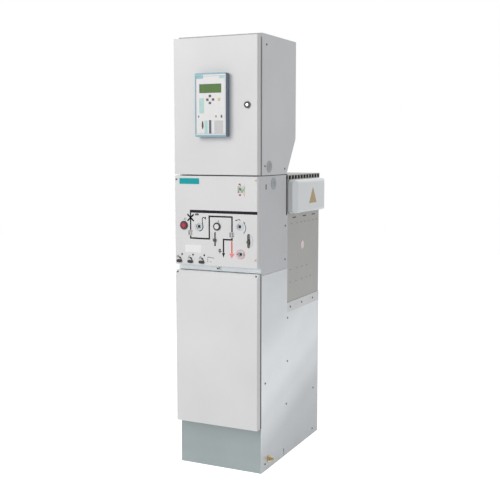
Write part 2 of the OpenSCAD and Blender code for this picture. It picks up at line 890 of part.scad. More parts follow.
// Rubber caps over the test sockets, each held by a strap and a rivet
module socket_caps() {
    strap_r = 16;
    color("#1c1c1d") for (x = test_x) {
        along_y(front - 7, front) round_rect([x - 14, test_z - 6.5], [x + 14, test_z + 6.5], 6.49);
        along_y(front - 3, front) translate([x - 6, test_z + 5]) intersection() {
            difference() {
                circle(strap_r);
                circle(strap_r - 3);
            }
            square(strap_r);
        }
        bar_y(3.5, front - 4, front, x + 3, test_z + 16);
        for (s = [-1, 1]) bar_y(1.8, front - 1, front + 10, x + s * 7, test_z);
    }
}

// Cable compartment

module transformer_plate() {
    x = half_w - sheet;
    color("#a5a8aa") difference() {
        union() {
            block(-x, x, cable_y - 70, cable_y + 70, ct_z - 3, ct_z);
            both_sides() block(x - 3, x, cable_y - 70, cable_y + 70, ct_z - 30, ct_z);
        }
        for (cx = [-cable_pitch, 0, cable_pitch]) bar_z(cable_r, ct_z - 3 - cut, ct_z + cut, cx, cable_y);
    }
}

// Ring-core current transformers round the cable line
module current_transformers() {
    color("#33383c") for (x = [-cable_pitch, 0, cable_pitch]) difference() {
        union() {
            bar_z(ct_r, ct_z, ct_z + 60, x, cable_y);
            block(x - 18, x + 18, cable_y - ct_r - 14, cable_y - ct_r + 8, ct_z, ct_z + 34);
        }
        bar_z(cable_r, ct_z - cut, ct_z + 60 + cut, x, cable_y);
    }
}

// Clamps on their rail, which spans the compartment
module cable_clamps() {
    x = half_w - sheet;
    color("#8e9295") {
        difference() {
            block(-x, x, cable_y + 36, cable_y + 66, clamp_z, clamp_z + 40);
            block(-x - cut, x + cut, cable_y + 39, cable_y + 66 + cut, clamp_z + 3, clamp_z + 37);
        }
        for (cx = [-cable_pitch, 0, cable_pitch]) difference() {
            union() {
                block(cx - 38, cx + 38, cable_y - 8, cable_y + 36, clamp_z, clamp_z + 40);
                bar_z(38, clamp_z, clamp_z + 40, cx, cable_y);
            }
            bar_z(cable_r, clamp_z - cut, clamp_z + 40 + cut, cx, cable_y);
            block(cx - 39, cx + 39, cable_y - pass_gap / 2, cable_y + pass_gap / 2,
                clamp_z - cut, clamp_z + 40 + cut);
        }
    }
}

module earth_busbar() {
    x = half_w - sheet;
    y0 = front + 110;
    color("#b87333") {
        block(-x, x, y0, y0 + 6, 110, 140);
        for (k = [-2 : 2]) translate([k * 70, y0 - 7, 125]) rotate([-90, 0, 0])
            cylinder(r = 9, h = 7, $fn = 6);
    }
}

// Low-voltage compartment

// Side outline of the compartment's body, drawn in by o; chamfered behind
function lv_outline(o) =
    let (y0 = lv_front - (o > 0 ? cut : 0), y1 = front + lv_depth - o, yb = front + lv_floor_depth,
        rise = lower_h + lv_chamfer_h - lv_bottom, m = (front + lv_depth - yb) / rise,
        slant = sqrt(1 + m * m))
    [[y0, lv_bottom + o], [yb + o * (m - slant), lv_bottom + o],
        [y1, lv_bottom + (y1 - yb + o * slant) / m], [y1, roof_z - o], [y0, roof_z - o]];

module lv_body() {
    x = half_w - sheet;
    color("#b5b6b7") difference() {
        union() {
            difference() {
                along_x(-half_w, half_w) polygon(lv_outline(0));
                along_x(-x, x) polygon(lv_outline(sheet));
            }
            difference() {
                union() {
                    block(-x, x, lv_front, lv_front + sheet, lv_bottom + 1, roof_z - 1);
                    block(-neck_half, neck_half, neck_front, lv_front + 1, neck_bottom, neck_top);
                }
                block(-neck_half + sheet, neck_half - sheet, neck_front - cut, lv_front + 2 * sheet,
                    neck_bottom + sheet, neck_top - sheet);
            }
            block(-x + 1, x - 1, lv_front + 3, front + lv_floor_depth - 3, lower_h, lv_bottom + 1);
        }
        both_sides() bar_x(plug_r + 0.3, x - cut, half_w + cut, front + 128, lower_h + 43);
        block(neck_half - sheet - cut, neck_half + cut, front + 17, front + 27, lock_z - 12, lock_z + 30);
    }
}

// Plug with a rim outside the sheet and a dished face
module knockout_plug(y, z) {
    dish = 5;
    difference() {
        union() {
            bar_x(plug_r, half_w - 6, half_w + 1, y, z);
            bar_x(plug_r + 2.5, half_w, half_w + 2, y, z);
        }
        translate([half_w + 2 - dish, y, z]) rotate([0, 90, 0])
            cylinder(r1 = plug_r - 3 * dish, r2 = plug_r - 1, h = dish + cut);
    }
}

// Plugs in the side knock-outs of the compartment and of the control housing
module knockout_plugs() {
    color("#8d8f91") both_sides() for (p = [[128, 43], [177, -36]]) {
        knockout_plug(front + p[0], lower_h + p[1]);
    }
}

// Mounting plate on four stand-offs, with two hat rails
module lv_mount_plate() {
    x = half_w - 25;
    z0 = roof_z - 430;
    z1 = roof_z - 35;
    color("#c0c3c5") {
        block(-x, x, plate_y, plate_y + sheet, z0, z1);
        for (sx = [-x + 15, x - 15], z = [z0 + 15, z1 - 15])
            bar_y(6, plate_y + sheet - 0.5, front + lv_depth - sheet, sx, z);
        for (z = rail_zs) along_x(-x + 70, x - 20) {
            translate([plate_y - 1.5, z - 13.5]) square([2, 27]);
            for (s = [-1, 1]) translate([plate_y - rail_d, z + s * 13 - 0.5]) square([rail_d, 1]);
            for (s = [-1, 1]) translate([plate_y - rail_d, z + s * 15.5 - 2]) square([1, 4]);
        }
    }
}

// Row of feed-through terminals on the lower rail
module terminal_blocks() {
    w = 8;
    count = 16;
    y1 = plate_y - rail_d;
    z = rail_zs[1];
    color("#8b9190") for (k = [0 : count - 1])
        translate([-70 + k * w, 0, 0]) difference() {
            along_x(0, w) polygon([[y1, z - 28], [y1, z + 28], [y1 - 22, z + 28], [y1 - 42, z + 14],
                [y1 - 42, z - 14], [y1 - 22, z - 28]]);
            for (s = [-1, 1]) bar_z(2.2, z + s * 22 - 8, z + s * 22 + 8, w / 2, y1 - 14);
        }
}

// Two miniature circuit-breakers on the upper rail
module breaker_bodies() {
    color("#dfe0df") for (x = toggle_x) difference() {
        along_x(x - toggle_half, x + toggle_half) polygon(breaker_outline);
        block(x - 8, x + 8, toggle_y - 9, toggle_y + 9, toggle_z - 16, toggle_z + 16);
    }
}

module breaker_toggle(k) {
    x = toggle_x[k];
    color("#2f3234") {
        bar_x(5, x - 7.6, x + 7.6, toggle_y, toggle_z);
        translate([0, toggle_y, toggle_z]) rotate([-35, 0, 0]) block(x - 6, x + 6, -19, 0, -2.5, 2.5);
    }
}

module breaker_toggle_1() {
    breaker_toggle(0);
}

module breaker_toggle_2() {
    breaker_toggle(1);
}

// Slotted wiring duct beside the rails
module wiring_duct() {
    x0 = -half_w + 32;
    w = 34;
    d = 50;
    z0 = roof_z - 420;
    z1 = roof_z - 45;
    t = 2;
    color("#9aa0a3") difference() {
        block(x0, x0 + w, plate_y - d, plate_y, z0, z1);
        block(x0 + t, x0 + w - t, plate_y - d + t, plate_y - t, z0 - cut, z1 + cut);
        for (z = [z0 + 8 : 16 : z1 - 14])
            block(x0 - cut, x0 + w + cut, plate_y - d + 8, plate_y - 12, z, z + 8);
    }
}

// Body halves of the door hinges with their pins
module door_hinges() {
    color("#8c9093") for (z = hinge_zs) {
        bar_z(4, z, z + hinge_len, hinge_x, hinge_y);
        block(hinge_x - 3, hinge_x + 3, hinge_y, lv_front, z, z + hinge_len);
        bar_z(2.5, z, z + 2 * hinge_len + 2, hinge_x, hinge_y);
    }
}

module lv_door() {
    z_gap = 0.3;
    w = relay_w / 2 - 8;
    h = relay_h / 2 - 8;
    color("#dddede") difference() {
        union() {
            pan(panel_w, door_d, door_bottom, door_top);
            for (z = hinge_zs) {
                bar_z(4, z + hinge_len + z_gap, z + 2 * hinge_len, hinge_x, hinge_y);
                block(-half_w + sheet - 0.5, hinge_x, front + door_d - 2, hinge_y,
                    z + hinge_len + z_gap, z + 2 * hinge_len);
            }
        }
        block(relay_x - w, relay_x + w, front - cut, front + sheet + cut, relay_z - h, relay_z + h);
        bar_y(lock_r + run_gap, front - cut, front + sheet + cut, lock_x, lock_z);
        for (z = hinge_zs) bar_z(2.5 + run_gap, z, z + 2 * hinge_len + cut, hinge_x, hinge_y);
    }
}

// Foam gasket inside the door, against the rim of the body's neck
module door_gasket() {
    x = neck_half + 4;
    z0 = neck_bottom - 4;
    z1 = neck_top + 4;
    w = 10;
    color("#2a2a2b") difference() {
        block(-x, x, front + sheet, neck_front - 0.3, z0, z1);
        block(-x + w, x - w, front, neck_front, z0 + w, z1 - w);
    }
}

// Quarter-turn lock: head and barrel in the door, cam behind it
module door_lock() {
    color("#3c3d3f") difference() {
        union() {
            bar_y(lock_r + 4, front - 6, front - 0.3, lock_x, lock_z);
            bar_y(lock_r, front - 1, front + 23, lock_x, lock_z);
            block(lock_x - 7, lock_x + 7, front + 20, front + 23, lock_z, lock_z + cam_len);
        }
        block(lock_x - 4, lock_x + 4, front - 7, front + 4, lock_z - 4, lock_z + 4);
    }
}

// Protection relay: front with its key pockets, and the case behind the door
module protection_relay() {
    w = relay_w / 2;
    h = relay_h / 2;
    rim = 5;
    color("#6c8698") difference() {
        union() {
            translate([relay_x, 0, relay_z]) along_y(front - relay_out, front)
                round_rect([-w, -h], [w, h], 4);
            block(relay_x - w + 9, relay_x + w - 9, front - 1, front + relay_case_d,
                relay_z - h + 9, relay_z + h - 9);
        }
        block(relay_x - w + rim, relay_x + w - rim, front - relay_out - cut, front - relay_out + 1.5,
            relay_z - h + 14, relay_z + h - 14);
        block(relay_x - 57, relay_x + 55, front - relay_out, front - relay_out + 3,
            relay_z + 54, relay_z + 94);
        for (p = keys) key_form(p, 0.3, front - relay_out, front - relay_out + 9);
    }
}

module key_form(p, gap, y0, y1) {
    a = key_size / 2 + [gap, gap];
    along_y(y0, y1) translate([relay_x + p[0], relay_z + p[1]])
        round_rect(-a, a, 2 + gap);
}

module relay_key(k) {
    color("#8fa3ad") key_form(keys[k], 0, front - relay_out - 0.6, front - relay_out + 7);
}

module key_up() {
    relay_key(0);
}

module key_left() {
    relay_key(1);
}

module key_right() {
    relay_key(2);
}

module key_down() {
    relay_key(3);
}

module key_enter() {
    relay_key(4);
}

base_frame();
plinth_front();
side_wall_left();
side_wall_right();
ledge_rails();
rear_wall();
vessel();
control_housing();
control_board();
ledge_strip();
busbar_roof();
busbar_caps();
cable_cover();
sheet_screws();
earth_bolt();
busbars();
bushings();
switch_contacts();
vacuum_interrupters();
interrupter_carrier();
contact_crossbar();
switch_shaft();
switch_blades();
mechanism_frame();
charging_shaft();
disconnector_drive();
earthing_drive();
breaker_flag();
button_collars();
drive_rings();
off_button();
on_button();
gate_left();
gate_right();
gas_indicator();
gas_pointer();
test_sockets();
socket_caps();
current_transformers();
transformer_plate();
cable_clamps();
earth_busbar();
lv_body();
lv_mount_plate();
terminal_blocks();
breaker_bodies();
breaker_toggle_1();
breaker_toggle_2();
wiring_duct();
knockout_plugs();
door_hinges();
lv_door();
door_gasket();
door_lock();
protection_relay();
key_up();
key_left();
key_right();
key_down();
key_enter();
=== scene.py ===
# %% [markdown]
# # Dressing a medium-voltage switchgear panel
# The real panel is folded sheet steel, powder-coated, with a stainless gas vessel behind the
# controls and a low-voltage compartment on top. Its construction comes ready-made as a packed
# frame in metres, so this lesson only gives every surface its finish and adds what is too
# thin or too fine for the construction: printed lines, label plates, the relay's face,
# window panes and screw heads.

# %% Load the frame
import math

import bpy
import numpy as np

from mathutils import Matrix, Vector


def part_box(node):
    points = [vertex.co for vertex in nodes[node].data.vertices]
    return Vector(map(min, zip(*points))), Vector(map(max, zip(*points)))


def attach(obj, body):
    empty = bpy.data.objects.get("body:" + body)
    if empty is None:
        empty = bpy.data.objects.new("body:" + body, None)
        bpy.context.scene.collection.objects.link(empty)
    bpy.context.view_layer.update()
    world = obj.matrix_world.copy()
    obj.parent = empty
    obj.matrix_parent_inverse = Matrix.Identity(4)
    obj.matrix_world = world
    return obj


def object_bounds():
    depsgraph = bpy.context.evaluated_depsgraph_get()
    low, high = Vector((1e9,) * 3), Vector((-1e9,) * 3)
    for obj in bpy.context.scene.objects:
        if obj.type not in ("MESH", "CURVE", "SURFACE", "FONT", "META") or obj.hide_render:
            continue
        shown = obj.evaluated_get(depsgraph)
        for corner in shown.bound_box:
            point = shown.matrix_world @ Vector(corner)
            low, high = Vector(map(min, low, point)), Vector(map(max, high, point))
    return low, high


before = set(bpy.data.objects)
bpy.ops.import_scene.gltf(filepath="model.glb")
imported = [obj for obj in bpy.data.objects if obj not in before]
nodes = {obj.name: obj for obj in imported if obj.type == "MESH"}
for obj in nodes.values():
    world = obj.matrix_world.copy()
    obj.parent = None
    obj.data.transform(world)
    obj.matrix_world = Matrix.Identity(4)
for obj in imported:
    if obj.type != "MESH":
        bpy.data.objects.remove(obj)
cad_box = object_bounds()
print("nodes:", len(nodes), "box:", [tuple(round(v, 3) for v in c) for c in cad_box])

# %% [markdown]
# ## Places that everything else is measured from
# Board, door and cover share one front plane, so one value holds it, and one more holds the
# plane of their sides. The body behind the door starts 48 mm deeper, and the recess between
# the cover and the side walls stands 14 mm further in. Heights on the board are given in
# millimetres above the floor, as on a drilling plan.

# %% Reference planes
MM = 0.001
board_lo, board_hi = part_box("control_board")
door_lo, door_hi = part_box("lv_door")
relay_lo, relay_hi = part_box("protection_relay")
vessel_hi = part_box("vessel")[1]
front = board_lo.y
compartment_front = front + 48 * MM
relay_face = relay_lo.y
side_x = board_hi.x
neck_x = side_x - 14 * MM
print("front plane at y =", round(front, 4), "side plane at x =", round(side_x, 4))

# %% [markdown]
# ## The camera and the studio
# The panel is seen from its right, a little above its middle, from about four metres. The lens
# is long enough for the tall cabinet to keep its upright edges nearly parallel. The backdrop is
# white to the camera and in reflections, while what lights the surfaces stays at a level where
# a colour shows about as it is written.

# %% Camera
lo, hi = cad_box
middle = np.array([(lo.x + hi.x) / 2, (lo.y + hi.y) / 2, (lo.z + hi.z) / 2])
azimuth, elevation, distance = math.radians(25.5), math.radians(6.5), 4.4
back = np.array([math.sin(azimuth) * math.cos(elevation),
                 -math.cos(azimuth) * math.cos(elevation), math.sin(elevation)])
camera = bpy.data.objects.new("Camera", bpy.data.cameras.new("Camera"))
bpy.context.scene.collection.objects.link(camera)
camera.location = tuple(middle + back * distance)
camera.rotation_euler = Vector(tuple(-back)).to_track_quat("-Z", "Y").to_euler()
camera.data.sensor_width = 36
camera.data.lens = 63
camera.data.clip_end = 60
bpy.context.scene.camera = camera
bpy.context.scene.view_settings.view_transform = "Standard"
print("camera at", [round(v, 2) for v in camera.location])

# %% [markdown]
# ## Small tools for materials
# Colours are read off as sRGB hex values, but a shader computes with linear light. Nodes are
# added by one function, which takes the node's inputs as values or as sockets to link. No
# real surface has one flat colour, so a second helper lets a colour swing a few per cent with
# a pattern.

# %% Colour and node helpers
def linear(code):
    """sRGB to linear: c / 12.92 up to 0.04045, else ((c + 0.055) / 1.055) to the power 2.4."""
    c = np.array([int(code[i:i + 2], 16) for i in (1, 3, 5)]) / 255
    c = np.where(c <= 0.04045, c / 12.92, ((c + 0.055) / 1.055) ** 2.4)
    return (*c.tolist(), 1.0)


def add(tree, kind, inputs=(), **settings):
    """Adds a node; inputs maps a socket's name or number to a value or to another node's output."""
    made = tree.nodes.new(kind)
    for key, value in settings.items():
        setattr(made, key, value)
    for key, value in dict(inputs).items():
        if isinstance(value, bpy.types.NodeSocket):
            tree.links.new(value, made.inputs[key])
        else:
            made.inputs[key].default_value = value
    return made


def new_material(name, hex_colour, roughness, **shader):
    """A Principled material; returned with its tree, its shader and its object coordinates."""
    material = bpy.data.materials.new(name)
    material.use_nodes = True
    tree = material.node_tree
    bsdf = tree.nodes["Principled BSDF"]
    bsdf.inputs["Base Color"].default_value = linear(hex_colour)
    bsdf.inputs["Roughness"].default_value = roughness
    for key, value in shader.items():
        bsdf.inputs[key.replace("_", " ")].default_value = value
    place = add(tree, "ShaderNodeTexCoord").outputs["Object"]
    return material, tree, bsdf, place


# %% A colour that swings
def swung_colour(tree, hex_colour, value, swing, start, stop):
    """The colour times 1 - swing up to 1 + swing, as value goes from start to stop."""
    level = add(tree, "ShaderNodeMapRange", {"Value": value, "From Min": start, "From Max": stop,
                                             "To Min": 1 - swing, "To Max": 1 + swing})
    return add(tree, "ShaderNodeVectorMath", {0: linear(hex_colour)[:3], 1: level.outputs[0]},
               operation="MULTIPLY").outputs[0]


# %% [markdown]
# ## Floor, sky and lamps
# Floor and sky look white to the camera, but light the panel no more than a plain grey would.
# Three soft square lamps do the rest: the key from the front left, a fill from the right and
# one from above.

# %% Studio
def seen_directly(tree):
    """1 for camera, glossy and transmission rays, and 0 for every other ray."""
    rays = add(tree, "ShaderNodeLightPath").outputs
    either = add(tree, "ShaderNodeMath", {0: rays["Is Camera Ray"], 1: rays["Is Glossy Ray"]},
                 operation="MAXIMUM")
    return add(tree, "ShaderNodeMath", {0: either.outputs[0], 1: rays["Is Transmission Ray"]},
               operation="MAXIMUM").outputs[0]


def backdrop_material(name, hex_colour, lit):
    """White where seen directly, and a plain lit grey to every other ray."""
    material = bpy.data.materials.new(name)
    material.use_nodes = True
    tree = material.node_tree
    tree.nodes.clear()
    paint = add(tree, "ShaderNodeBsdfDiffuse", {"Color": linear(hex_colour)})
    glow = add(tree, "ShaderNodeEmission", {"Color": (1, 1, 1, 1), "Strength": 1.16 - lit})
    both = add(tree, "ShaderNodeAddShader", {0: paint.outputs[0], 1: glow.outputs[0]})
    shown = add(tree, "ShaderNodeMixShader", {0: seen_directly(tree), 1: paint.outputs[0],
                                              2: both.outputs[0]})
    add(tree, "ShaderNodeOutputMaterial", {"Surface": shown.outputs[0]})
    return material


world = bpy.data.worlds.new("Studio")
bpy.context.scene.world = world
world.use_nodes = True
sky = world.node_tree
sky.nodes.clear()
sky_fill = add(sky, "ShaderNodeBackground", {"Color": linear("#f4f6f8"), "Strength": 0.42})
sky_white = add(sky, "ShaderNodeBackground", {"Color": (1, 1, 1, 1), "Strength": 1.0})
sky_mix = add(sky, "ShaderNodeMixShader", {0: seen_directly(sky), 1: sky_fill.outputs[0],
                                           2: sky_white.outputs[0]})
add(sky, "ShaderNodeOutputWorld", {"Surface": sky_mix.outputs[0]})

floor_mesh = bpy.data.meshes.new("studio_floor")
floor_mesh.from_pydata([(-9, -9, 0), (9, -9, 0), (9, 9, 0), (-9, 9, 0)], [], [(0, 1, 2, 3)])
floor = bpy.data.objects.new("studio_floor", floor_mesh)
bpy.context.scene.collection.objects.link(floor)
floor_mesh.materials.append(backdrop_material("matt_white_floor", "#e2e3e4", 0.45))


def soft_lamp(name, place, aim, size, watts):
    """A square area lamp at place, turned towards aim."""
    lamp = bpy.data.objects.new(name, bpy.data.lights.new(name, "AREA"))
    bpy.context.scene.collection.objects.link(lamp)
    lamp.data.size = size
    lamp.data.energy = watts
    lamp.location = place
    lamp.rotation_euler = (Vector(aim) - Vector(place)).to_track_quat("-Z", "Y").to_euler()
    return lamp


soft_lamp("key_lamp", (-1.6, -4.6, 3.2), (0, 0, 1.0), 3.0, 150)
soft_lamp("fill_lamp", (4.6, -0.6, 2.6), (0, 0, 0.9), 3.0, 26)
soft_lamp("top_lamp", (0.3, 0.4, 5.2), (0, 0, 0), 2.6, 70)

# %% [markdown]
# ## Powder coat
# Board, door, cover and side sheets are folded steel with a fine-textured polyester powder
# coat. It is matt to satin, and up close it shows a pebbled skin of grains about half a
# millimetre wide. Too fine to show from four metres, the grain is drawn at 1.6 mm, and a
# slow drift of tone over about 300 mm keeps large sheets from looking printed.

# %% Powder-coated sheet steel
def powder_coat(name, hex_colour, roughness=0.46, drift=0.03):
    """Noise of 1.6 mm grain drives the bump; noise of 300 mm swings the colour by drift."""
    material, tree, bsdf, place = new_material(name, hex_colour, roughness)
    grain = add(tree, "ShaderNodeTexNoise", {"Vector": place, "Scale": 1 / (1.6 * MM),
                                             "Detail": 2.0}).outputs["Fac"]
    slow = add(tree, "ShaderNodeTexNoise", {"Vector": place, "Scale": 1 / (300 * MM),
                                            "Detail": 3.0}).outputs["Fac"]
    tone = swung_colour(tree, hex_colour, slow, drift, 0.3, 0.7)
    tree.links.new(tone, bsdf.inputs["Base Color"])
    gloss = add(tree, "ShaderNodeMapRange", {"Value": grain, "To Min": roughness - 0.05,
                                             "To Max": roughness + 0.07})
    tree.links.new(gloss.outputs[0], bsdf.inputs["Roughness"])
    bump = add(tree, "ShaderNodeBump", {"Height": grain, "Strength": 0.12, "Distance": 0.08 * MM})
    tree.links.new(bump.outputs[0], bsdf.inputs["Normal"])
    return material


# %% [markdown]
# ## Rolled, galvanised and brushed metals
# The gas vessel is welded from cold-rolled stainless sheet: a warm grey with long faint
# rolling lines. Those are far too fine to show, so they are drawn half a millimetre wide, as
# the grain of turned metal is drawn at 0.4 mm. The lower walls are hot-dip galvanised sheet,
# which shows a spangle of zinc crystals some 6 mm wide, each reflecting a little differently.
# Both are metals, so they take their look from reflections and only a tint from their colour.

# %% Stainless and galvanised sheet
def rolled_stainless(name, hex_colour, roughness=0.42, line=0.5 * MM, length=0.12, stretch="x"):
    """Noise squeezed to line across the rolling direction and drawn out to length along it."""
    material, tree, bsdf, place = new_material(name, hex_colour, roughness, Metallic=0.85)
    scale = [1 / line, 1 / line, 1 / line]
    scale["xyz".index(stretch)] = 1 / length
    stretched = add(tree, "ShaderNodeMapping", {"Vector": place, "Scale": scale}).outputs[0]
    lines = add(tree, "ShaderNodeTexNoise", {"Vector": stretched, "Scale": 1.0, "Detail": 3.0})
    cloud = add(tree, "ShaderNodeTexNoise", {"Vector": place, "Scale": 1 / (180 * MM),
                                             "Detail": 4.0})
    both = add(tree, "ShaderNodeMath", {0: lines.outputs["Fac"], 1: cloud.outputs["Fac"]},
               operation="ADD").outputs[0]
    tone = swung_colour(tree, hex_colour, both, 0.1, 0.6, 1.4)
    tree.links.new(tone, bsdf.inputs["Base Color"])
    gloss = add(tree, "ShaderNodeMapRange", {"Value": both, "From Min": 0.5, "From Max": 1.5,
                                             "To Min": roughness - 0.08,
                                             "To Max": roughness + 0.08})
    tree.links.new(gloss.outputs[0], bsdf.inputs["Roughness"])
    return material


def painted_reflection_bands(tree, place, tone, painted_bands, tilt):
    """Tone times a curve through (place, factor) points along z plus tilt times y: painted
    reflection and shade, the broad lighter and darker bands in which a large, faintly wavy sheet
    would mirror the room."""
    along = add(tree, "ShaderNodeVectorMath", {0: place, 1: (0, tilt, 1)}, operation="DOT_PRODUCT")
    ramp = add(tree, "ShaderNodeValToRGB", {"Fac": along.outputs["Value"]})
    ramp.color_ramp.interpolation = "EASE"
    top = max(factor for _, factor in painted_bands)
    while len(ramp.color_ramp.elements) < len(painted_bands):
        ramp.color_ramp.elements.new(0.5)
    for element, (where, factor) in zip(ramp.color_ramp.elements, painted_bands):
        element.position = where
        element.color = (factor / top, factor / top, factor / top, 1.0)
    scaled = add(tree, "ShaderNodeVectorMath", {0: ramp.outputs["Color"], 1: (top, top, top)},
                 operation="MULTIPLY")
    return add(tree, "ShaderNodeVectorMath", {0: tone, 1: scaled.outputs[0]},
               operation="MULTIPLY").outputs[0]


def galvanised_sheet(name, hex_colour, roughness=0.4, crystal=6 * MM, metallic=0.7, painted_bands=None,
                     tilt=0.0):
    """Voronoi cells of one zinc crystal each; a cell's random value tips its tone and gloss."""
    material, tree, bsdf, place = new_material(name, hex_colour, roughness, Metallic=metallic)
    cells = add(tree, "ShaderNodeTexVoronoi", {"Vector": place, "Scale": 1 / crystal})
    grey = add(tree, "ShaderNodeSeparateColor", {"Color": cells.outputs["Color"]}).outputs[0]
    cloud = add(tree, "ShaderNodeTexNoise", {"Vector": place, "Scale": 1 / (250 * MM),
                                             "Detail": 3.0})
    both = add(tree, "ShaderNodeMath", {0: grey, 1: 0.35, 2: cloud.outputs["Fac"]},
               operation="MULTIPLY_ADD")
    tone = swung_colour(tree, hex_colour, both.outputs[0], 0.06, 0.3, 1.1)
    # Painted reflection: broad bands of light and shade laid over the colour, if given.
    if painted_bands:
        tone = painted_reflection_bands(tree, place, tone, painted_bands, tilt)
    tree.links.new(tone, bsdf.inputs["Base Color"])
    gloss = add(tree, "ShaderNodeMapRange", {"Value": grey, "To Min": roughness - 0.05,
                                             "To Max": roughness + 0.08})
    tree.links.new(gloss.outputs[0], bsdf.inputs["Roughness"])
    return material


def turned_metal(name, hex_colour, roughness=0.3, grain=0.4 * MM):
    """A bare machined metal: full metallic, with fine noise in its roughness and bump."""
    material, tree, bsdf, place = new_material(name, hex_colour, roughness, Metallic=1.0)
    fine = add(tree, "ShaderNodeTexNoise", {"Vector": place, "Scale": 1 / grain,
                                            "Detail": 2.0}).outputs["Fac"]
    gloss = add(tree, "ShaderNodeMapRange", {"Value": fine, "To Min": roughness - 0.08,
                                             "To Max": roughness + 0.1})
    tree.links.new(gloss.outputs[0], bsdf.inputs["Roughness"])
    bump = add(tree, "ShaderNodeBump", {"Height": fine, "Strength": 0.1, "Distance": 0.02 * MM})
    tree.links.new(bump.outputs[0], bsdf.inputs["Normal"])
    return material


# %% [markdown]
# ## Plastics, rubber, resin and print
# Moulded plastic takes the mould's eroded skin, a grain of some tenths of a millimetre, drawn
# at 0.7 mm; rubber has the same grain but hardly any gloss; printed film is smooth ink with a
# faint tooth. One function makes them all, because they differ only in colour, gloss and the
# depth of that grain.

# %% Moulded and printed surfaces
def moulded(name, hex_colour, roughness=0.45, grain=0.7 * MM, depth=0.05 * MM, mottle=0.04,
            **shader):
    """Grain noise gives bump and gloss; the same noise, slower, swings the colour by mottle."""
    material, tree, bsdf, place = new_material(name, hex_colour, roughness, **shader)
    skin = add(tree, "ShaderNodeTexNoise", {"Vector": place, "Scale": 1 / grain,
                                            "Detail": 2.0}).outputs["Fac"]
    blotch = add(tree, "ShaderNodeTexNoise", {"Vector": place, "Scale": 1 / (25 * grain),
                                              "Detail": 3.0}).outputs["Fac"]
    tone = swung_colour(tree, hex_colour, blotch, mottle, 0.3, 0.7)
    tree.links.new(tone, bsdf.inputs["Base Color"])
    gloss = add(tree, "ShaderNodeMapRange", {"Value": skin, "To Min": roughness - 0.05,
                                             "To Max": roughness + 0.06})
    tree.links.new(gloss.outputs[0], bsdf.inputs["Roughness"])
    bump = add(tree, "ShaderNodeBump", {"Height": skin, "Strength": 0.2, "Distance": depth})
    tree.links.new(bump.outputs[0], bsdf.inputs["Normal"])
    return material


# %% [markdown]
# ## The finish of every construction node
# Each node of the construction gets the finish of the real piece. Sheets that face the operator are
# painted with one powder coat, given a shade darker on the door and a shade lighter on the cover as
# painted light, which evens out the lamps' fall towards the floor; walls that only protect are left
# galvanised; what carries current is copper; and what insulates is cast resin or glazed ceramic.

# %% Sheet metal and painted pieces
# Powder coat spreads a highlight until none is seen; the caps' lacquer is smoother and holds a soft
# one. Zinc is pale and cloudy. On the large walls and the plinth, broad lighter and darker bands
# are painted reflection and painted shade, standing in for the room that a large sheet mirrors.
# Painted light and shade: the door's grey is darker and the cover's lighter than the board's, to
# even out the lamps' fall towards the floor.
powder_door = powder_coat("powder_coat_door_grey", "#d2d1d1", 0.46)
powder_cover = powder_coat("powder_coat_cover_grey", "#d9d8d8", 0.46)
powder_board = powder_coat("powder_coat_board_grey", "#d4d3d3", 0.46)
powder_side = powder_coat("powder_coat_side_grey", "#d4d5d6", 0.5)
powder_housing = powder_coat("powder_coat_housing_grey", "#cccdcf", 0.5)
cap_lacquer = powder_coat("lacquered_cap_grey_green", "#ebedee", 0.36, drift=0.02)
stainless = rolled_stainless("brushed_stainless_vessel", "#9c9b98", stretch="y")
# Painted reflection and shade: the wall is darker low down, where it would mirror the floor, and
# lighter across its middle.
wall_painted_reflection = [(0.0, 0.72), (0.16, 0.76), (0.33, 0.98), (0.46, 1.14), (0.6, 1.12), (0.78, 1.0),
              (1.0, 0.97)]
zinc_wall = galvanised_sheet("galvanised_wall_sheet", "#cdd0d2", 0.42, metallic=0.55,
                             painted_bands=wall_painted_reflection, tilt=-0.3)
zinc_rail = galvanised_sheet("galvanised_rail", "#c4c5c5", 0.42, crystal=3 * MM, metallic=0.55)
zinc_strip = galvanised_sheet("galvanised_strip", "#cdd3d6", 0.42, crystal=3 * MM, metallic=0.55)
# Painted light and shade: the plinth is lighter low down and darker towards its top.
plinth_painted_shade = [(0.0, 1.12), (0.1, 1.02), (0.22, 0.88), (1.0, 0.88)]
zinc_plinth = galvanised_sheet("galvanised_plinth_sheet", "#929a9a", 0.42, painted_bands=plinth_painted_shade)
zinc_inner = galvanised_sheet("galvanised_inner_sheet", "#b9bdc1", 0.45)

# %% Bare metals
# Zinc plating is a cool light grey, and the dark screw steel is painted shade on zinc-plated
# screws, though it keeps a metal's glint; brass is a warm yellow, rolled copper a salmon red, and
# anodised aluminium the most matt of them.
zinc_screw = turned_metal("zinc_plated_screw_steel", "#9a9c9e", 0.34)
# Painted shade: the screws are zinc-plated, and this dark steel stands for the shadow they lie in.
dark_screw_painted_shade = turned_metal("screw_steel_darkened_painted_shade", "#5a5b5c", 0.36)
brass = turned_metal("bright_brass_bolt", "#bdab82", 0.28)
copper = turned_metal("rolled_copper_bar", "#c98860", 0.28, grain=0.8 * MM)
shaft_steel = turned_metal("turned_shaft_steel", "#9c9fa1", 0.4)
ring_aluminium = turned_metal("anodised_aluminium_ring", "#aaadaf", 0.5)

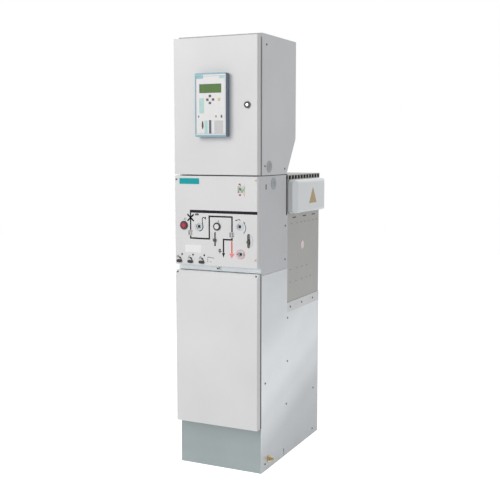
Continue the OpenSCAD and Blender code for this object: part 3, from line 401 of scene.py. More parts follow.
# %% Insulating, moulded and rubber pieces
# Cast resin comes glossy from a polished mould, and glazed alumina mirrors the lamps sharply.
# Polyamide, ABS and PVC are satin. Rubber and foam have hardly any highlight.
resin_brown = moulded("cast_epoxy_resin_brown", "#7d4a38", 0.3, depth=0.02 * MM)
resin_dark = moulded("cast_resin_dark_grey", "#3d4246", 0.4)
ceramic = moulded("glazed_alumina_ceramic", "#e9e6dd", 0.16, depth=0.01 * MM, mottle=0.02,
                  Coat_Weight=0.5)
flag_black = moulded("black_flag_film", "#1d1f22", 0.5)
black_plastic = moulded("moulded_black_polyamide", "#1e2022", 0.4)
off_red = moulded("red_push_button_abs", "#94263a", 0.28)
on_pale = moulded("pale_push_button_abs", "#d8d9d6", 0.3)
gate_olive = moulded("olive_gate_polyamide", "#3f4130", 0.45)
pointer_green = moulded("gauge_pointer_pale_green", "#c3d0bf", 0.45)
rubber = moulded("black_epdm_rubber", "#26282a", 0.7, depth=0.08 * MM)
foam_grey = moulded("door_gasket_grey_foam", "#3e3f40", 0.8, depth=0.08 * MM)
relay_frame = moulded("relay_case_slate_abs", "#6a7a89", 0.42)
key_orange = moulded("enter_key_amber", "#dfbd78", 0.45)
key_dark = moulded("relay_key_brown_grey", "#51474a", 0.5)
terminal_grey = moulded("terminal_polyamide_grey", "#b9bcb6", 0.5)
breaker_grey = moulded("breaker_case_thermoset", "#d6d7d4", 0.45)
duct_grey = moulded("slotted_duct_pvc_grey", "#a5a9aa", 0.5)
plug_grey = moulded("knock_out_plug_polyethylene", "#a9abad", 0.5)
gauge_white = moulded("gauge_face_white", "#e6e7e2", 0.4)

# %% Give each node its finish
finish = {
    powder_door: ["lv_door"],
    powder_cover: ["cable_cover"],
    powder_board: ["control_board"],
    powder_side: ["lv_body"],
    powder_housing: ["control_housing"],
    cap_lacquer: ["busbar_caps"],
    stainless: ["vessel", "busbar_roof"],
    zinc_wall: ["side_wall_left", "side_wall_right"],
    zinc_rail: ["ledge_rails"],
    zinc_strip: ["ledge_strip"],
    zinc_plinth: ["plinth_front", "base_frame"],
    zinc_inner: ["rear_wall", "lv_mount_plate", "transformer_plate", "mechanism_frame"],
    dark_screw_painted_shade: ["sheet_screws"],
    zinc_screw: ["door_hinges", "cable_clamps"],
    brass: ["earth_bolt"],
    copper: ["busbars", "switch_contacts", "switch_blades", "earth_busbar"],
    shaft_steel: ["charging_shaft", "disconnector_drive", "earthing_drive", "switch_shaft",
                  "interrupter_carrier"],
    ring_aluminium: ["drive_rings"],
    resin_brown: ["bushings", "contact_crossbar"],
    resin_dark: ["current_transformers"],
    ceramic: ["vacuum_interrupters"],
    flag_black: ["breaker_flag"],
    black_plastic: ["button_collars", "door_lock", "breaker_toggle_1", "breaker_toggle_2"],
    off_red: ["off_button"],
    on_pale: ["on_button"],
    gate_olive: ["gate_left", "gate_right"],
    pointer_green: ["gas_pointer"],
    rubber: ["socket_caps"],
    foam_grey: ["door_gasket"],
    relay_frame: ["protection_relay"],
    key_orange: ["key_enter"],
    key_dark: ["key_up", "key_down", "key_left", "key_right"],
    terminal_grey: ["terminal_blocks"],
    breaker_grey: ["breaker_bodies"],
    duct_grey: ["wiring_duct"],
    plug_grey: ["knockout_plugs"],
    gauge_white: ["gas_indicator", "test_sockets"],
}
for material, names in finish.items():
    for name in names:
        for held in nodes[name].material_slots:
            held.material = material
done = {name for names in finish.values() for name in names}
print("nodes finished:", len(done), "left:", sorted(set(nodes) - done))

# %% [markdown]
# ## A cap that is lighter in the middle
# The OFF button's red is a painted highlight in the middle, lighter there, and painted shade
# towards the rim, deeper there. The distance from the button's axis picks the colour.

# %% Painted highlight and shade on the button, from its axis
def paint_highlight_and_shade(material, axis, radius, inner, outer):
    """Colour by distance from an axis along y: inner up to a sixth of radius, outer at radius."""
    tree = material.node_tree
    place = add(tree, "ShaderNodeTexCoord").outputs["Object"]
    offset = add(tree, "ShaderNodeVectorMath", {0: place, 1: (axis[0], 0, axis[2])},
                 operation="SUBTRACT")
    flat = add(tree, "ShaderNodeVectorMath", {0: offset.outputs[0], 1: (1, 0, 1)},
               operation="MULTIPLY")
    distance = add(tree, "ShaderNodeVectorMath", {0: flat.outputs[0]}, operation="LENGTH")
    share = add(tree, "ShaderNodeMapRange", {"Value": distance.outputs["Value"],
                                             "From Min": radius / 6, "From Max": radius})
    mixed = add(tree, "ShaderNodeMix", {0: share.outputs[0], 6: linear(inner), 7: linear(outer)},
                data_type="RGBA")
    tree.links.new(mixed.outputs[2], tree.nodes["Principled BSDF"].inputs["Base Color"])


off_lo, off_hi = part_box("off_button")
off_axis = (off_lo + off_hi) / 2
# Painted highlight in the middle of the OFF button, and painted shade at its rim.
paint_highlight_and_shade(off_red, off_axis, (off_hi.x - off_lo.x) / 2, "#b32c48", "#5e0e20")
print("OFF button's axis at", [round(v, 3) for v in off_axis])

# %% [markdown]
# ## Thin flat pieces, worked out as arrays
# Printed lines, label films and window panes are all thin slabs on the front. One function
# lofts them: an outline in x and z is carried through a few rings, from the surface that it
# lies on, up its wall and over a small rounded rim, and the last ring is closed. A printed
# line is the same slab, only a tenth of a millimetre high, with its outline offset to both
# sides of a path.

# %% Outlines
def rectangle(x0, x1, z0, z1, radius=0.0, steps=4):
    """A rectangle's outline in mm; a corner is a quarter circle, centre + radius (cos, sin)."""
    if radius <= 0:
        return np.array([(x0, z0), (x1, z0), (x1, z1), (x0, z1)], float)
    turn = np.linspace(0, np.pi / 2, steps + 1)
    parts = []
    for k, (cx, cz) in enumerate([(x1 - radius, z1 - radius), (x0 + radius, z1 - radius),
                                  (x0 + radius, z0 + radius), (x1 - radius, z0 + radius)]):
        angle = turn + k * np.pi / 2
        parts.append(np.stack([cx + radius * np.cos(angle), cz + radius * np.sin(angle)], axis=1))
    return np.concatenate(parts)


def ellipse(cx, cz, rx, rz=None, count=40):
    """An ellipse's outline: centre plus (rx cos t, rz sin t)."""
    t = np.linspace(0, 2 * np.pi, count, endpoint=False)
    return np.stack([cx + rx * np.cos(t), cz + (rz or rx) * np.sin(t)], axis=1)


def stroke(points, width):
    """The outline of a line with mitred corners: each point moves half a width along the mean of
    its two neighbouring normals, divided by the cosine of half the bend."""
    p = np.array(points, float)
    step = np.diff(p, axis=0)
    step /= np.linalg.norm(step, axis=1, keepdims=True)
    normal = np.stack([-step[:, 1], step[:, 0]], axis=1)
    before = np.vstack([normal[:1], normal])
    after = np.vstack([normal, normal[-1:]])
    mean = before + after
    mean /= np.linalg.norm(mean, axis=1, keepdims=True)
    reach = width / 2 / np.maximum((mean * after).sum(axis=1, keepdims=True), 0.3)
    return np.concatenate([p - mean * reach, (p + mean * reach)[::-1]])


def arc_points(cx, cz, radius, start, stop, count=24):
    """Points on a circle from start to stop degrees, counted from +x towards +z."""
    t = np.radians(np.linspace(start, stop, count))
    return np.stack([cx + radius * np.cos(t), cz + radius * np.sin(t)], axis=1)


# %% Slabs
def collect(name, meshes, material, body="cabinet"):
    """One object from several (points, faces) pairs; it rides on the body."""
    start = np.cumsum([0] + [len(p) for p, _ in meshes])
    points = np.concatenate([p for p, _ in meshes])
    faces = [[i + int(s) for i in face] for (_, fs), s in zip(meshes, start) for face in fs]
    mesh = bpy.data.meshes.new(name)
    mesh.from_pydata(points.tolist(), [], faces)
    mesh.validate()
    mesh.update()
    made = bpy.data.objects.new(name, mesh)
    bpy.context.scene.collection.objects.link(made)
    mesh.materials.append(material)
    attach(made, body)
    print(name, "on", body, "-", len(points), "points,", len(faces), "faces")
    return made


def slab(outline, base, height, rim=0.0, right=(1, 0, 0), up=(0, 0, 1), out=(0, -1, 0),
         origin=(0, 0, 0)):
    """Rings of one outline in mm at rising heights over base, in metres; with a rim, the last
    ring is drawn in by the rim's width and stands higher by it, and a cap closes it. An outline
    whose area, half the sum of x z' - z x', is negative runs clockwise and is turned round, so
    that all faces look outwards."""
    flat = np.array(outline, float) * MM
    x, z = flat.T
    if np.sum(x * np.roll(z, -1) - z * np.roll(x, -1)) < 0:
        flat = flat[::-1]
    centre = (flat.max(axis=0) + flat.min(axis=0)) / 2
    half = np.maximum((flat.max(axis=0) - flat.min(axis=0)) / 2, 1e-6)
    rings = [(flat, 0.0), (flat, height - rim)]
    if rim > 0:
        rings.append((centre + (flat - centre) * (1 - 0.3 * rim / half), height - 0.3 * rim))
        rings.append((centre + (flat - centre) * (1 - rim / half), height))
    right, up, out, origin = (np.array(v, float) for v in (right, up, out, origin))
    points = np.concatenate([origin + r[:, :1] * right + r[:, 1:] * up + (base + h) * out
                             for r, h in rings])
    n = len(flat)
    i = np.arange(n)
    j = (i + 1) % n
    quads = [np.stack([k * n + i, k * n + j, (k + 1) * n + j, (k + 1) * n + i], axis=1)
             for k in range(len(rings) - 1)]
    faces = np.concatenate(quads).tolist()
    top = (len(rings) - 1) * n
    return points, faces + [list(range(top, top + n)), list(range(n - 1, -1, -1))]


def on_front(outline, height=0.12 * MM, rim=0.0, base=0.0, plane=None):
    """A slab on the front of the panel, rising towards -y from the given plane."""
    return slab(outline, base - (front if plane is None else plane), height, rim)


# %% [markdown]
# ## Printed mimic diagram
# The lines on the board show the current's way: busbar, circuit-breaker, disconnector and
# earthing switch. On the real board they are a screen-printed film, about a tenth of a
# millimetre thick. Each line is one mitred stroke, so its corners are closed and sharp.

# %% Printing inks and films
# Ink and label film lie flat and even; their tooth is drawn at 0.5 mm, or it would not show.
def matt_ink(name, hex_colour):
    """Screen-printing ink dries matt: it mirrors a third of what a moulded plastic does."""
    return moulded(name, hex_colour, 0.55, grain=0.5 * MM, depth=0.01 * MM, Specular_IOR_Level=0.15)


ink_black = matt_ink("screen_print_black", "#1a1b1d")
ink_violet = matt_ink("screen_print_dark_violet", "#1b121d")
ink_grey = matt_ink("screen_print_grey", "#5c6063")
ink_pale = matt_ink("screen_print_pale_grey", "#adb0b2")
ink_red = matt_ink("screen_print_signal_red", "#d8685d")
ink_pink = matt_ink("screen_print_pale_red", "#ea8b86")
film_teal = matt_ink("film_teal", "#17999e")
film_white = moulded("label_film_white", "#e2e2e0", 0.4, grain=0.5 * MM, depth=0.01 * MM,
                     mottle=0.015)


def printed(name, outlines, material, height=0.12 * MM, base=0.0):
    """All outlines of one ink as one printed piece, base above the board's front."""
    slabs = [on_front(np.array(o), height, base=base) for o in outlines]
    return collect(name, slabs, material, "cabinet")


# %% Current path in black
thick, thin = 13.4, 7.4
path_lines = [
    stroke([(-131, 1241), (-131, 1147)], thin - 0.5),
    stroke([(-131, 1121), (-131, 1109), (-32, 1109), (-32, 1214), (86, 1214), (86, 1145)], thin),
    stroke([(86, 1119), (86, 1109), (42, 1109), (42, 1048)], thin),
    [(34, 1047), (50, 1047), (42, 1024)],
    stroke([(-148, 1221), (-114, 1189)], thin),
    stroke([(-148, 1189), (-114, 1221)], thin),
]
printed("mimic_busbar", [rectangle(-131, 214.2, 1235 - thick / 2, 1235 + thick / 2)], ink_violet,
        0.14 * MM)
printed("mimic_lines", path_lines, ink_black)
print("black strokes:", len(path_lines))

# %% Earthing path in red
printed("mimic_earth_line", [stroke([(85, 1103), (85, 1047)], 7.0)], ink_red, 0.16 * MM)
printed("mimic_earth_arrow", [[(71, 1046), (99, 1046), (85, 1022)]], ink_pink)

# %% [markdown]
# ## Turning arrows and small marks
# A curved arrow beside each crank socket tells which way to turn. An arc is sampled on its
# circle and stroked like any other path; the head is a triangle whose tip lies on the arc's
# tangent. The ring around the lowest socket is in the red of the earthing path.

# %% Arrows
def head_at(x, z, heading, length, width):
    """A triangle with its tip at (x, z), pointing along heading in degrees."""
    a = math.radians(heading)
    back_x, back_z = x - length * math.cos(a), z - length * math.sin(a)
    wing_x, wing_z = -math.sin(a) * width / 2, math.cos(a) * width / 2
    return [(x, z), (back_x + wing_x, back_z + wing_z), (back_x - wing_x, back_z - wing_z)]


printed("charging_arrow_tail", [stroke(arc_points(-86, 1165, 21.5, 150, 275), 2.6)], ink_pale)
crank = np.concatenate([arc_points(-86, 1165, 21.5, 277, 385), [(-68, 1185), (-69, 1196)],
                        arc_points(-61, 1200, 8, 180, 75, 8)])
printed("charging_arrow", [stroke(crank, 4.0), head_at(-49, 1197, 300, 13, 12)], ink_black)
printed("disconnector_arrow", [stroke(arc_points(125, 1165, 31, -50, 36), 3.6),
                               head_at(143, 1195, 130, 12, 10)], ink_grey)
printed("gate_arrows", [stroke(arc_points(150, 1107, 42, -36, 36), 2.4),
                        stroke([(-18, 1141), (-19, 1122), (-15, 1108)], 2.0)], ink_pale)
printed("small_marks", [
    stroke(arc_points(111, 1193, 8, 150, 60, 8), 4.0),
    stroke(arc_points(121, 1197, 7, 130, 10, 8), 3.4),
    rectangle(-106, -100.4, 1216, 1225.5), rectangle(-99.6, -94, 1216.6, 1226),
    rectangle(-93.2, -88, 1216, 1225), rectangle(21, 25.5, 1044, 1065),
    rectangle(14, 32, 1052, 1056), rectangle(16, 29, 1060, 1063.5),
], ink_black)
printed("socket_marks", [
    stroke([(-44, 1020), (-36, 1023), (-20, 1021), (-8, 1019)], 2.6),
    rectangle(-43, -39, 1009, 1015), rectangle(-43, -39, 1000, 1005),
    rectangle(-27, -23, 1000, 1004),
], ink_grey)
cap_xs = [-192, -133, -73]
printed("socket_arcs", [stroke(arc_points(x + 4, 1010, 17, 178, 110, 12), 2.2) for x in cap_xs],
        ink_grey)
printed("socket_diamonds", [[(x + 8, 1030), (x + 14, 1024), (x + 19, 1031), (x + 13, 1037)]
                            for x in cap_xs], ink_black)

# %% Figures and the earthing ring
printed("push_button_figures", [
    stroke(arc_points(-160, 1197, 4.6, 10, 350), 2.2), rectangle(14.6, 17.2, 1187, 1198),
], ink_grey)
printed("earthing_ring", [stroke(arc_points(130, 1044, 21.0, 0, 180, 30), 3.2),
                          stroke(arc_points(130, 1044, 21.0, 180, 360, 30), 3.2)], ink_pink)
printed("earthing_figures", [
    stroke(arc_points(113.8, 1044, 1.9, 10, 350, 16), 1.6), rectangle(145.2, 147.4, 1038, 1050),
], ink_violet, base=2 * MM)

# %% [markdown]
# ## Plates on the board
# A plate at the top left and a writing field below are bare here: the first is teal film on a
# thin aluminium plate, the second white film. Each is a low slab with a rim that is rounded
# over, so that its edge catches a line of light. Beside the gas window, a brown and a red dot
# mark the ends of its scale.

# %% Plates and dots
collect("teal_plate", [on_front(rectangle(-189, -84, 1362, 1389, 1.5), 0.9 * MM, 0.35 * MM)],
        film_teal, "cabinet")
collect("writing_field", [on_front(rectangle(-161, -74, 1042, 1077, 1.5), 0.5 * MM, 0.25 * MM)],
        film_white, "cabinet")
dot_brown = moulded("screen_print_red_brown", "#8a4a40", 0.4, depth=0.005 * MM)
dot_red = moulded("screen_print_brick_red", "#a5422f", 0.4, depth=0.005 * MM)
printed("gas_dot_brown", [ellipse(125, 1364, 5.5, 4.2), stroke([(128, 1361), (133, 1357.5)], 2.6)],
        dot_brown)
printed("gas_dot_red", [ellipse(127, 1316, 6.2, 4.8)], dot_red)
printed("gas_tick", [stroke([(143, 1321), (148, 1321), (151, 1316), (151, 1309)], 3.0)], ink_pink)
printed("gas_line", [rectangle(150.4, 151.8, 1359, 1368)], ink_pale)

# %% [markdown]
# ## Behind the windows
# The breaker's flag carries a pale film with two black lines that continue the current path,
# and a cross bar further up that comes into view when the flag drops. The switch has a pale
# dial behind its pointer. The gas gauge has a pale green dial with a darker green field.
# Polycarbonate panes close the windows from behind, as sheet cut to size and stuck on: nearly
# clear, with a light haze over the two position windows.

# %% Films, dials and panes
# Polyester film is satin and even. Polycarbonate sheet is smooth, so it mirrors the lamps.
flag_film = moulded("flag_film_pale", "#d7d8d6", 0.5, grain=0.5 * MM, depth=0.01 * MM)
dial_green = moulded("gauge_dial_pale_green", "#eaf3e6", 0.45, grain=0.5 * MM, depth=0.01 * MM)
field_green = moulded("gauge_field_green", "#3d6241", 0.45, grain=0.5 * MM, depth=0.01 * MM)
pane_hazy = moulded("window_polycarbonate_hazy", "#e6e8e6", 0.14, depth=0.002 * MM, mottle=0.01,
                    Alpha=0.12)
pane_clear = moulded("window_polycarbonate_clear", "#f3f7f2", 0.08, depth=0.002 * MM, mottle=0.01,
                     Transmission_Weight=0.95, IOR=1.58)
flag_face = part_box("breaker_flag")[0].y
dial_plane = front + 8.9 * MM
gauge_plane = front + 9.6 * MM
pane_plane = front + 3.4 * MM
backing_plane = front + 6.4 * MM
film_t, ink_t = 0.15 * MM, 0.05 * MM


def behind(outline, plane, height, rim=0.0, base=0.0):
    """A slab inside the housing, facing forward, on a plane given in metres."""
    return on_front(outline, height, rim, base=base, plane=plane)


collect("flag_film", [behind(rectangle(-140.6, -121.4, 1112.4, 1167.6), flag_face, film_t)],
        flag_film, "breaker_flag")
collect("flag_lines", [behind(rectangle(x, x + 2.2, 1113, 1144), flag_face, ink_t, base=film_t)
                       for x in (-134.6, -129.6)], ink_black, "breaker_flag")
collect("flag_cross_bar", [behind(rectangle(-139, -123, 1152.5, 1156.5), flag_face, ink_t,
                                  base=film_t)], ink_black, "breaker_flag")
half_ring = [stroke(arc_points(85, 1132, 15.6, a, a + 180, 30), 10.8) for a in (0, 180)]
collect("switch_dial", [behind(o, dial_plane, 0.8 * MM) for o in half_ring], flag_film, "switch")
collect("switch_pointer_film", [behind(rectangle(82.4, 87.6, 1120.6, 1143.4), flag_face, film_t)],
        flag_film, "switch")
collect("switch_pointer_line", [behind(rectangle(83.2, 86.8, 1121, 1143), flag_face, ink_t,
                                       base=film_t)], ink_black, "switch")
collect("gas_dial", [behind(o, gauge_plane, 0.5 * MM) for o in (
    rectangle(113.4, 156.6, 1334, 1357.6), rectangle(113.4, 156.6, 1322.4, 1326),
    rectangle(113.4, 131, 1326, 1334), rectangle(139, 156.6, 1326, 1334))], dial_green)
collect("gas_field", [behind(rectangle(119, 129, 1336, 1348, 2), gauge_plane, 0.1 * MM,
                             base=0.5 * MM)], field_green)
collect("window_panes", [behind(rectangle(x - 13.5, x + 13.5, 1119.5, 1146.5, 1), pane_plane,
                                1.3 * MM, 0.2 * MM) for x in (-131, 85)], pane_hazy)
collect("gas_pane", [behind(rectangle(113.4, 156.6, 1322.4, 1357.6), pane_plane, 1.3 * MM,
                            0.2 * MM)], pane_clear)
gate_backing = moulded("gate_backing_grey", "#6f7172", 0.5)
collect("gate_backings", [behind(rectangle(x - w, x + w, 1066, 1150), backing_plane, 0.8 * MM)
                          for x, w in ((-2, 14), (171, 18))], gate_backing)

# %% [markdown]
# ## The relay's face
# The protection relay is a slate moulded case whose front carries a film. Its rim stands
# 1.5 mm proud, blue-grey at the top and bottom. The film is laid in strips around the keys
# and the display, so that the keys can travel. On it lie a teal field, a strip for the status
# lamps, small keys, a port and a plain keypad field. The display sits deeper, in a dark frame.

# %% Relay finishes
# The case is satin ABS and its front a matt polyester film. The display mirrors little, so
# that its green liquid-crystal field stays readable.
relay_blue = moulded("relay_border_blue_grey", "#7ba4b2", 0.42)
relay_film = moulded("relay_front_film_pale_grey", "#d6d4d3", 0.4, depth=0.01 * MM, mottle=0.015)
relay_teal = moulded("relay_field_teal", "#86b3b7", 0.4, depth=0.01 * MM)
display_frame = moulded("display_frame_olive", "#3c5026", 0.4, depth=0.01 * MM)
display_glass = moulded("lcd_glass_green", "#56753f", 0.3, depth=0.005 * MM, mottle=0.05,
                        Specular_IOR_Level=0.12)
lamp_strip = moulded("status_strip_pale_teal", "#a3c3be", 0.4, depth=0.01 * MM)
pad_grey = moulded("keypad_field_grey", "#bdbbba", 0.48, depth=0.01 * MM)
port_dark = moulded("port_cover_dark_slate", "#34434f", 0.4)
port_brown = moulded("port_oval_brown_black", "#33281f", 0.4)

relay_x = (relay_lo.x + relay_hi.x) / 2 / MM
relay_z = (relay_lo.z + relay_hi.z) / 2 / MM
pocket = relay_face + 1.5 * MM
well = relay_face + 3.0 * MM


def relay_piece(name, fields, material, plane, height=0.1 * MM, base=0.0):
    """Fields of one finish, given from the relay's centre; they ride on the door with it."""
    outlines = [np.array(f) + (relay_x, relay_z) for f in fields]
    return collect(name, [on_front(o, height, base=base, plane=plane) for o in outlines],
                   material, "lv_door")


def strips(x0, x1, rows):
    """Rectangles that fill each row (z0, z1, gaps) between x0 and x1 and leave its gaps open."""
    made = []
    for z0, z1, gaps in rows:
        edges = [x0] + [e for gap in gaps for e in gap] + [x1]
        made += [rectangle(a, b, z0, z1) for a, b in zip(edges[::2], edges[1::2])]
    return made


# %% Relay fields
face = strips(-73.6, 73.6, [
    (-128.6, 3.5, []), (3.5, 14.5, [(-9.2, 3.2)]), (14.5, 18.5, []),
    (18.5, 29.5, [(-22.2, -9.8), (6.8, 19.2), (36.8, 49.2)]), (29.5, 34.5, []),
    (34.5, 45.5, [(-9.2, 3.2)]), (45.5, 53.8, []), (53.8, 94.2, [(-57.2, 55.2)]),
    (94.2, 128.6, [])])
relay_piece("relay_film", face, relay_film, pocket, film_t)
relay_piece("relay_border", [
    rectangle(-78.5, 78.5, 136, 142.5), rectangle(-78.5, 78.5, -142.5, -134),
    rectangle(-78.5, -74.5, -134, 136)], relay_blue, relay_face)
relay_piece("relay_rim_film", [
    rectangle(-74.5, 77.5, 129.3, 136), rectangle(-74.5, 77.5, -134, -129.3),
    rectangle(74.5, 77.5, -129.3, 129.3)], relay_film, relay_face)
relay_piece("relay_rim_teal", [rectangle(-74, -37, 129.6, 135.6)], relay_teal, relay_face,
            base=0.1 * MM)
relay_piece("relay_teal_field", [rectangle(-73, -37, 118, 128.4)], relay_teal, pocket, base=film_t)
relay_piece("relay_pale_fields", [rectangle(44, 72, 117, 128), rectangle(-31, -15, -128.3, -70),
                                  rectangle(-58, -33, -37, 31)], lamp_strip, pocket, base=film_t)
relay_piece("display_frame", [rectangle(-56.6, 54.6, 54.4, 93.6)], display_frame, well, 0.3 * MM)
relay_piece("display_glass", [rectangle(-52, 53, 57, 91)], display_glass, well, 0.5 * MM,
            base=0.3 * MM)
relay_piece("relay_keypad", [rectangle(19, 64, -128.3, -70)], pad_grey, pocket, base=film_t)
relay_piece("port_cover", [rectangle(-8, 4, -128.3, -68)], port_dark, pocket, 0.2 * MM,
            base=film_t)
relay_piece("port_oval", [ellipse(-41, -90, 4.8, 18.5)], port_brown, pocket, 0.2 * MM,
            base=film_t)
relay_piece("relay_small_keys", [rectangle(-64, -58, -55, -47, 1), rectangle(25, 31, -56, -47, 1),
                                 rectangle(52, 60, -58, -45, 1)], ink_grey, pocket, base=film_t)
print("relay centre", relay_x, relay_z, "face at y =", round(relay_face, 4))

# %% [markdown]
# ## The lock's insert
# The door lock is a black housing around a bright zinc cylinder with a slot for the key. The
# cylinder's face is a low disc with a rounded edge; the slot is drawn on it.

# %% Lock insert
lock_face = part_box("door_lock")[0].y
insert_zinc = turned_metal("bright_zinc_lock_insert", "#dcdddc", 0.3)
collect("lock_insert", [on_front(ellipse(165, 1721, 5.8, count=32), 0.4 * MM, 0.2 * MM,
                                 plane=lock_face)], insert_zinc, "door_lock")
collect("lock_slot", [on_front(rectangle(164.1, 165.9, 1717, 1725), 0.03 * MM, base=0.4 * MM,
                               plane=lock_face)], ink_black, "door_lock")

# %% [markdown]
# ## Marks on the sides
# The vessel's side sheets carry rows of rivets, three slots and a bare round plate. The rivets
# are low heads with a rounded edge, lofted from rings. The busbar cap has a bare ochre triangle,
# printed on the lacquer: a point is inside where it lies to the left of all three edges. Both
# sides are alike.

# %% Side pieces
# The rivets' steel is darker than the rolled sheet, and the slots' seals are matt and dark.
rivet_steel = turned_metal("stainless_rivet_steel", "#6f6d6a", 0.4)
slot_dark = moulded("slot_seal_dark", "#3a3a39", 0.6)
film_rose = moulded("film_pale_rose", "#f2e0da", 0.42, depth=0.01 * MM)


def on_side(outline, plane, side, height, rim=0.0):
    """A slab on a side face: its outline holds depth from the front and z; side is +1 or -1."""
    o = np.array(outline, float)
    o[:, 0] = (o[:, 0] + front / MM) * side
    return slab(o, plane, height, rim, right=(0, side, 0), out=(side, 0, 0))


def both_sides(outlines, plane, height, rim=0.0):
    """The same outlines on the right and the left side."""
    return [on_side(o, plane, side, height, rim) for side in (1, -1) for o in outlines]


upper_rivets, lower_rivets = 1158, 867
rivets = [(d, upper_rivets) for d in (404, 477, 530, 580, 635, 692, 743)]
rivets += [(d, 930) for d in (396, 478, 545, 609)]
rivets += [(d, lower_rivets) for d in (392, 465, 541, 606, 664)]
rivet_radius, rivet_height, rivet_rim = 3.2, 1.2 * MM, 0.9 * MM
collect("vessel_rivets", both_sides([ellipse(d, z, rivet_radius, count=16) for d, z in rivets],
                                    vessel_hi.x, rivet_height, rivet_rim), rivet_steel)
slots = [rectangle(d - 22, d + 22, 1184.5, 1190.5, 2.9) for d in (439, 573, 698)]
collect("vessel_slots", both_sides(slots, vessel_hi.x, 0.4 * MM, 0.2 * MM), slot_dark)
collect("vessel_round_plate", both_sides([ellipse(550, 1040, 21)], vessel_hi.x, 0.4 * MM,
                                         0.2 * MM), film_rose)
print("rivets a side:", len(rivets))


# %% Triangle on the caps
def print_triangle(material, corners, least_x, hex_colour):
    """Colours the points beyond least_x whose cross products with the three edges are positive."""
    tree = material.node_tree
    colour = tree.nodes["Principled BSDF"].inputs["Base Color"]
    paint = colour.links[0].from_socket
    place = add(tree, "ShaderNodeTexCoord").outputs["Object"]
    far = add(tree, "ShaderNodeVectorMath", {0: place}, operation="ABSOLUTE")
    reach = add(tree, "ShaderNodeVectorMath", {0: far.outputs[0], 1: (1, 0, 0)},
                operation="DOT_PRODUCT")
    mask = add(tree, "ShaderNodeMath", {0: reach.outputs["Value"], 1: least_x},
               operation="GREATER_THAN")
    for (y0, z0), (y1, z1) in zip(corners, corners[1:] + corners[:1]):
        cross = add(tree, "ShaderNodeVectorMath", {0: place, 1: (0, z0 - z1, y1 - y0)},
                    operation="DOT_PRODUCT")
        least = (y1 - y0) * z0 - (z1 - z0) * y0
        inside = add(tree, "ShaderNodeMath", {0: cross.outputs["Value"], 1: least},
                     operation="GREATER_THAN")
        mask = add(tree, "ShaderNodeMath", {0: mask.outputs[0], 1: inside.outputs[0]},
                   operation="MULTIPLY")
    mixed = add(tree, "ShaderNodeMix", {0: mask.outputs[0], 6: paint, 7: linear(hex_colour)},
                data_type="RGBA")
    tree.links.new(mixed.outputs[2], colour)


cap_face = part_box("busbar_caps")[1].x
corners = [(front + d * MM, z * MM) for d, z in ((526, 1254), (630, 1254), (578, 1336))]
print_triangle(cap_lacquer, corners, cap_face - 0.5 * MM, "#b39a66")

# %% [markdown]
# ## Seals, seams and screw heads
# A black rubber profile is pressed into the recess between the cover and each side wall, a thinner
# one into the recess behind the door, and a grommet lines the slot in each side of the housing. A
# flat black strip lies in the seam between the low-voltage compartment and the control housing, as
# painted shade for the shadow in that seam. A grey drip edge runs above the door; its grey is
# painted shade for the roof's front edge, which lies in shadow. The cover and the ledge strip have
# dark screw heads, darkened as painted shade, the two of the cover on its sloping upper edge; the
# board's three are yellow passivated. Each screw on the sides shows a small hexagonal socket, drawn
# as a dark six-sided film.

# %% Seals and screws
# EPDM rubber is matt; yellow passivation gives a screw's zinc a warm, faintly golden tint.
seal_rubber = moulded("black_epdm_profile", "#232423", 0.6, depth=0.05 * MM)
drip_edge_shade_grey = moulded("grey_drip_edge_painted_shade", "#a3a6a8", 0.6, depth=0.05 * MM)
cover_lo, cover_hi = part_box("cable_cover")
strip_lo, strip_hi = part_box("ledge_strip")
lv_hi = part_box("lv_body")[1]
collect("cover_seals", both_sides([rectangle(33, 43.4, cover_lo.z / MM + 2, cover_hi.z / MM - 11,
                                             1.5)], neck_x + 0.2 * MM, 13.6 * MM, 1 * MM),
        seal_rubber)
collect("door_recess_seals", both_sides([rectangle(34, 47.4, door_lo.z / MM + 15,
                                                   door_hi.z / MM - 15)], neck_x, 1.2 * MM),
        seal_rubber)
collect("slot_grommets", both_sides([rectangle(88, 97, 1338.5, 1363.5, 2.5)], side_x - 1.5 * MM,
                                    2.1 * MM, 0.4 * MM), seal_rubber)
# Painted shade: a black strip in the seam between the compartment and the housing, for the shadow
# in that gap.
collect("compartment_seam_painted_shade", both_sides([rectangle(52, 342, 1400.4, 1405.6)], side_x - 2.8 * MM,
                                        2.0 * MM), seal_rubber)
# Painted shade: the drip edge's grey, darker than the paint around it, stands for the shadow on the
# roof's front edge.
drip_edge = rectangle(-213, 213, door_hi.z / MM + 1, lv_hi.z / MM - 0.6, 1)
collect("roof_drip_edge_painted_shade", [on_front(drip_edge, 1.5 * MM, 0.4 * MM, plane=compartment_front)],
        drip_edge_shade_grey)

head_radius, head_height, head_rim = 4.5, 2.0 * MM, 0.6 * MM
run, rise = 11.0, 17.0
slope = np.array([run, rise]) / math.hypot(run, rise)
slope_middle = (cover_lo.y + run / 2 * MM, cover_hi.z - rise / 2 * MM)
collect("cover_screws", [
    slab(ellipse(x, 0, head_radius, count=24), 0.0, head_height, head_rim, up=(0, *slope),
         out=(0, -slope[1], slope[0]), origin=(0, *slope_middle)) for x in (-206, 206)],
        dark_screw_painted_shade, "cable_cover")
strip_middle = (strip_lo.z + strip_hi.z) / 2 / MM
collect("strip_screw", [on_front(ellipse(0, strip_middle, head_radius, count=24), head_height,
                                 head_rim, plane=strip_lo.y)], dark_screw_painted_shade)
yellow_zinc = turned_metal("yellow_passivated_screw_steel", "#aba28d", 0.42)
low_screws = board_lo.z / MM + 37
board_screws = ((205, 1383), (205, low_screws), (-205, low_screws))
collect("board_screw_faces", [on_front(ellipse(x, z, 4.4, count=24), 0.3 * MM, 0.1 * MM,
                                       base=2.15 * MM) for x, z in board_screws],
        yellow_zinc)
socket_shade = moulded("screw_socket_shade", "#151515", 0.7)
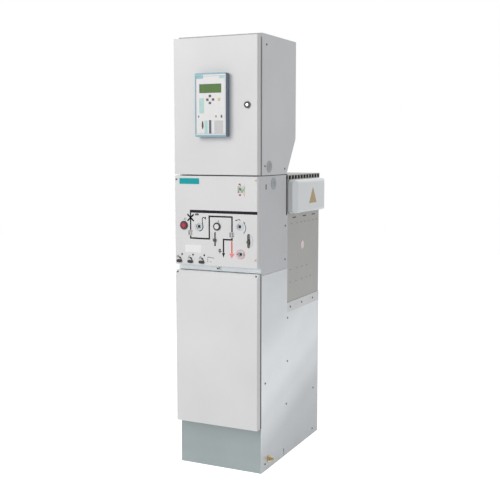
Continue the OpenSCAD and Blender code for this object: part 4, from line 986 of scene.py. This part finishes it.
socket_radius, socket_t = 2.0, 0.04 * MM
side_screws = [(88, 427), (353, 695), (353, 477), (342, 262), (705, 254), (697, 31), (88, 34),
               (316, 991), (319, 1155), (96, 1993)]
collect("side_screw_sockets", both_sides([ellipse(d, z, socket_radius, count=6)
                                          for d, z in side_screws], side_x + 2.2 * MM, socket_t),
        socket_shade)

# %% [markdown]
# ## The back
# The photo does not show the back, so only plain fasteners are added there: pan-head screws
# round the rear wall and the compartment, rivets on the vessel where its sides have them, and
# plastic end caps that close the two ledge rails. Each is a slab that rises towards +y.

# %% Pieces on the back
def on_back(outline, plane, height, rim=0.0):
    """A slab on a face that looks to the rear; mirrored in x, so it reads from behind."""
    return slab(outline, plane, height, rim, right=(-1, 0, 0), out=(0, 1, 0))


wall_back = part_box("rear_wall")[1].y
rail_lo, rail_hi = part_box("ledge_rails")
wall_rows = np.linspace(70, rail_lo.z / MM - 45, 4)
wall_screws = [(x, z) for x in (-198, 198) for z in wall_rows]
wall_screws += [(x, z) for x in (-66, 66) for z in wall_rows[[0, -1]]]
lv_screws = [(x, z) for x in (-190, 190) for z in (1590, 1790, 2010)]
back_screws = [(x, z, wall_back) for x, z in wall_screws] + [(x, z, lv_hi.y) for x, z in lv_screws]
collect("back_screws", [on_back(ellipse(x, z, head_radius, count=24), plane, head_height, 0.8 * MM)
                        for x, z, plane in back_screws], zinc_screw)
collect("back_screw_sockets", [on_back(ellipse(x, z, socket_radius, count=6), plane + head_height,
                                       socket_t) for x, z, plane in back_screws],
        socket_shade)
back_rivets = [(x, z) for x in np.linspace(-170, 170, 7) for z in (upper_rivets, lower_rivets)]
collect("vessel_back_rivets", [on_back(ellipse(x, z, rivet_radius, count=16), vessel_hi.y,
                                       rivet_height, rivet_rim) for x, z in back_rivets],
        rivet_steel)
cap_grey = moulded("rail_cap_polyethylene_grey", "#8d9092", 0.5)
rail_z = (rail_lo.z / MM + 0.8, rail_hi.z / MM - 0.8)
collect("rail_end_caps", [on_back(rectangle(x0, x0 + 28.6, *rail_z, 1.5), rail_hi.y, 1.8 * MM,
                                  0.6 * MM) for x0 in (-214.2, 185.6)], cap_grey)
print("screws on the back:", len(back_screws))

# %% [markdown]
# ## Behind the relay
# With the door open, the relay shows its back: two plug-in terminal strips with a row of screws
# each, and an earthing screw. They ride on the door with the relay.

# %% Terminals on the relay's back
terminal_black = moulded("relay_terminal_polyamide_black", "#2a2d2e", 0.5)
relay_back = relay_hi.y
strip_xs = (-relay_x - 38, -relay_x + 38)
strip_t = 7 * MM
terminal_zs = np.linspace(-98, 98, 15)
collect("relay_terminals", [on_back(rectangle(x - 13, x + 13, relay_z - 106, relay_z + 106, 1.5),
                                    relay_back, strip_t, 0.8 * MM) for x in strip_xs],
        terminal_black, "lv_door")
collect("relay_terminal_screws", [on_back(ellipse(x, relay_z + z, 3.4, count=16),
                                          relay_back + strip_t, 0.8 * MM, 0.3 * MM)
                                  for x in strip_xs for z in terminal_zs], zinc_screw, "lv_door")
collect("relay_earth_screw", [on_back(ellipse(-relay_x, relay_z - 118, 5, count=24), relay_back,
                                      4 * MM, 1 * MM)], brass, "lv_door")
print("relay terminals:", 2 * len(terminal_zs))
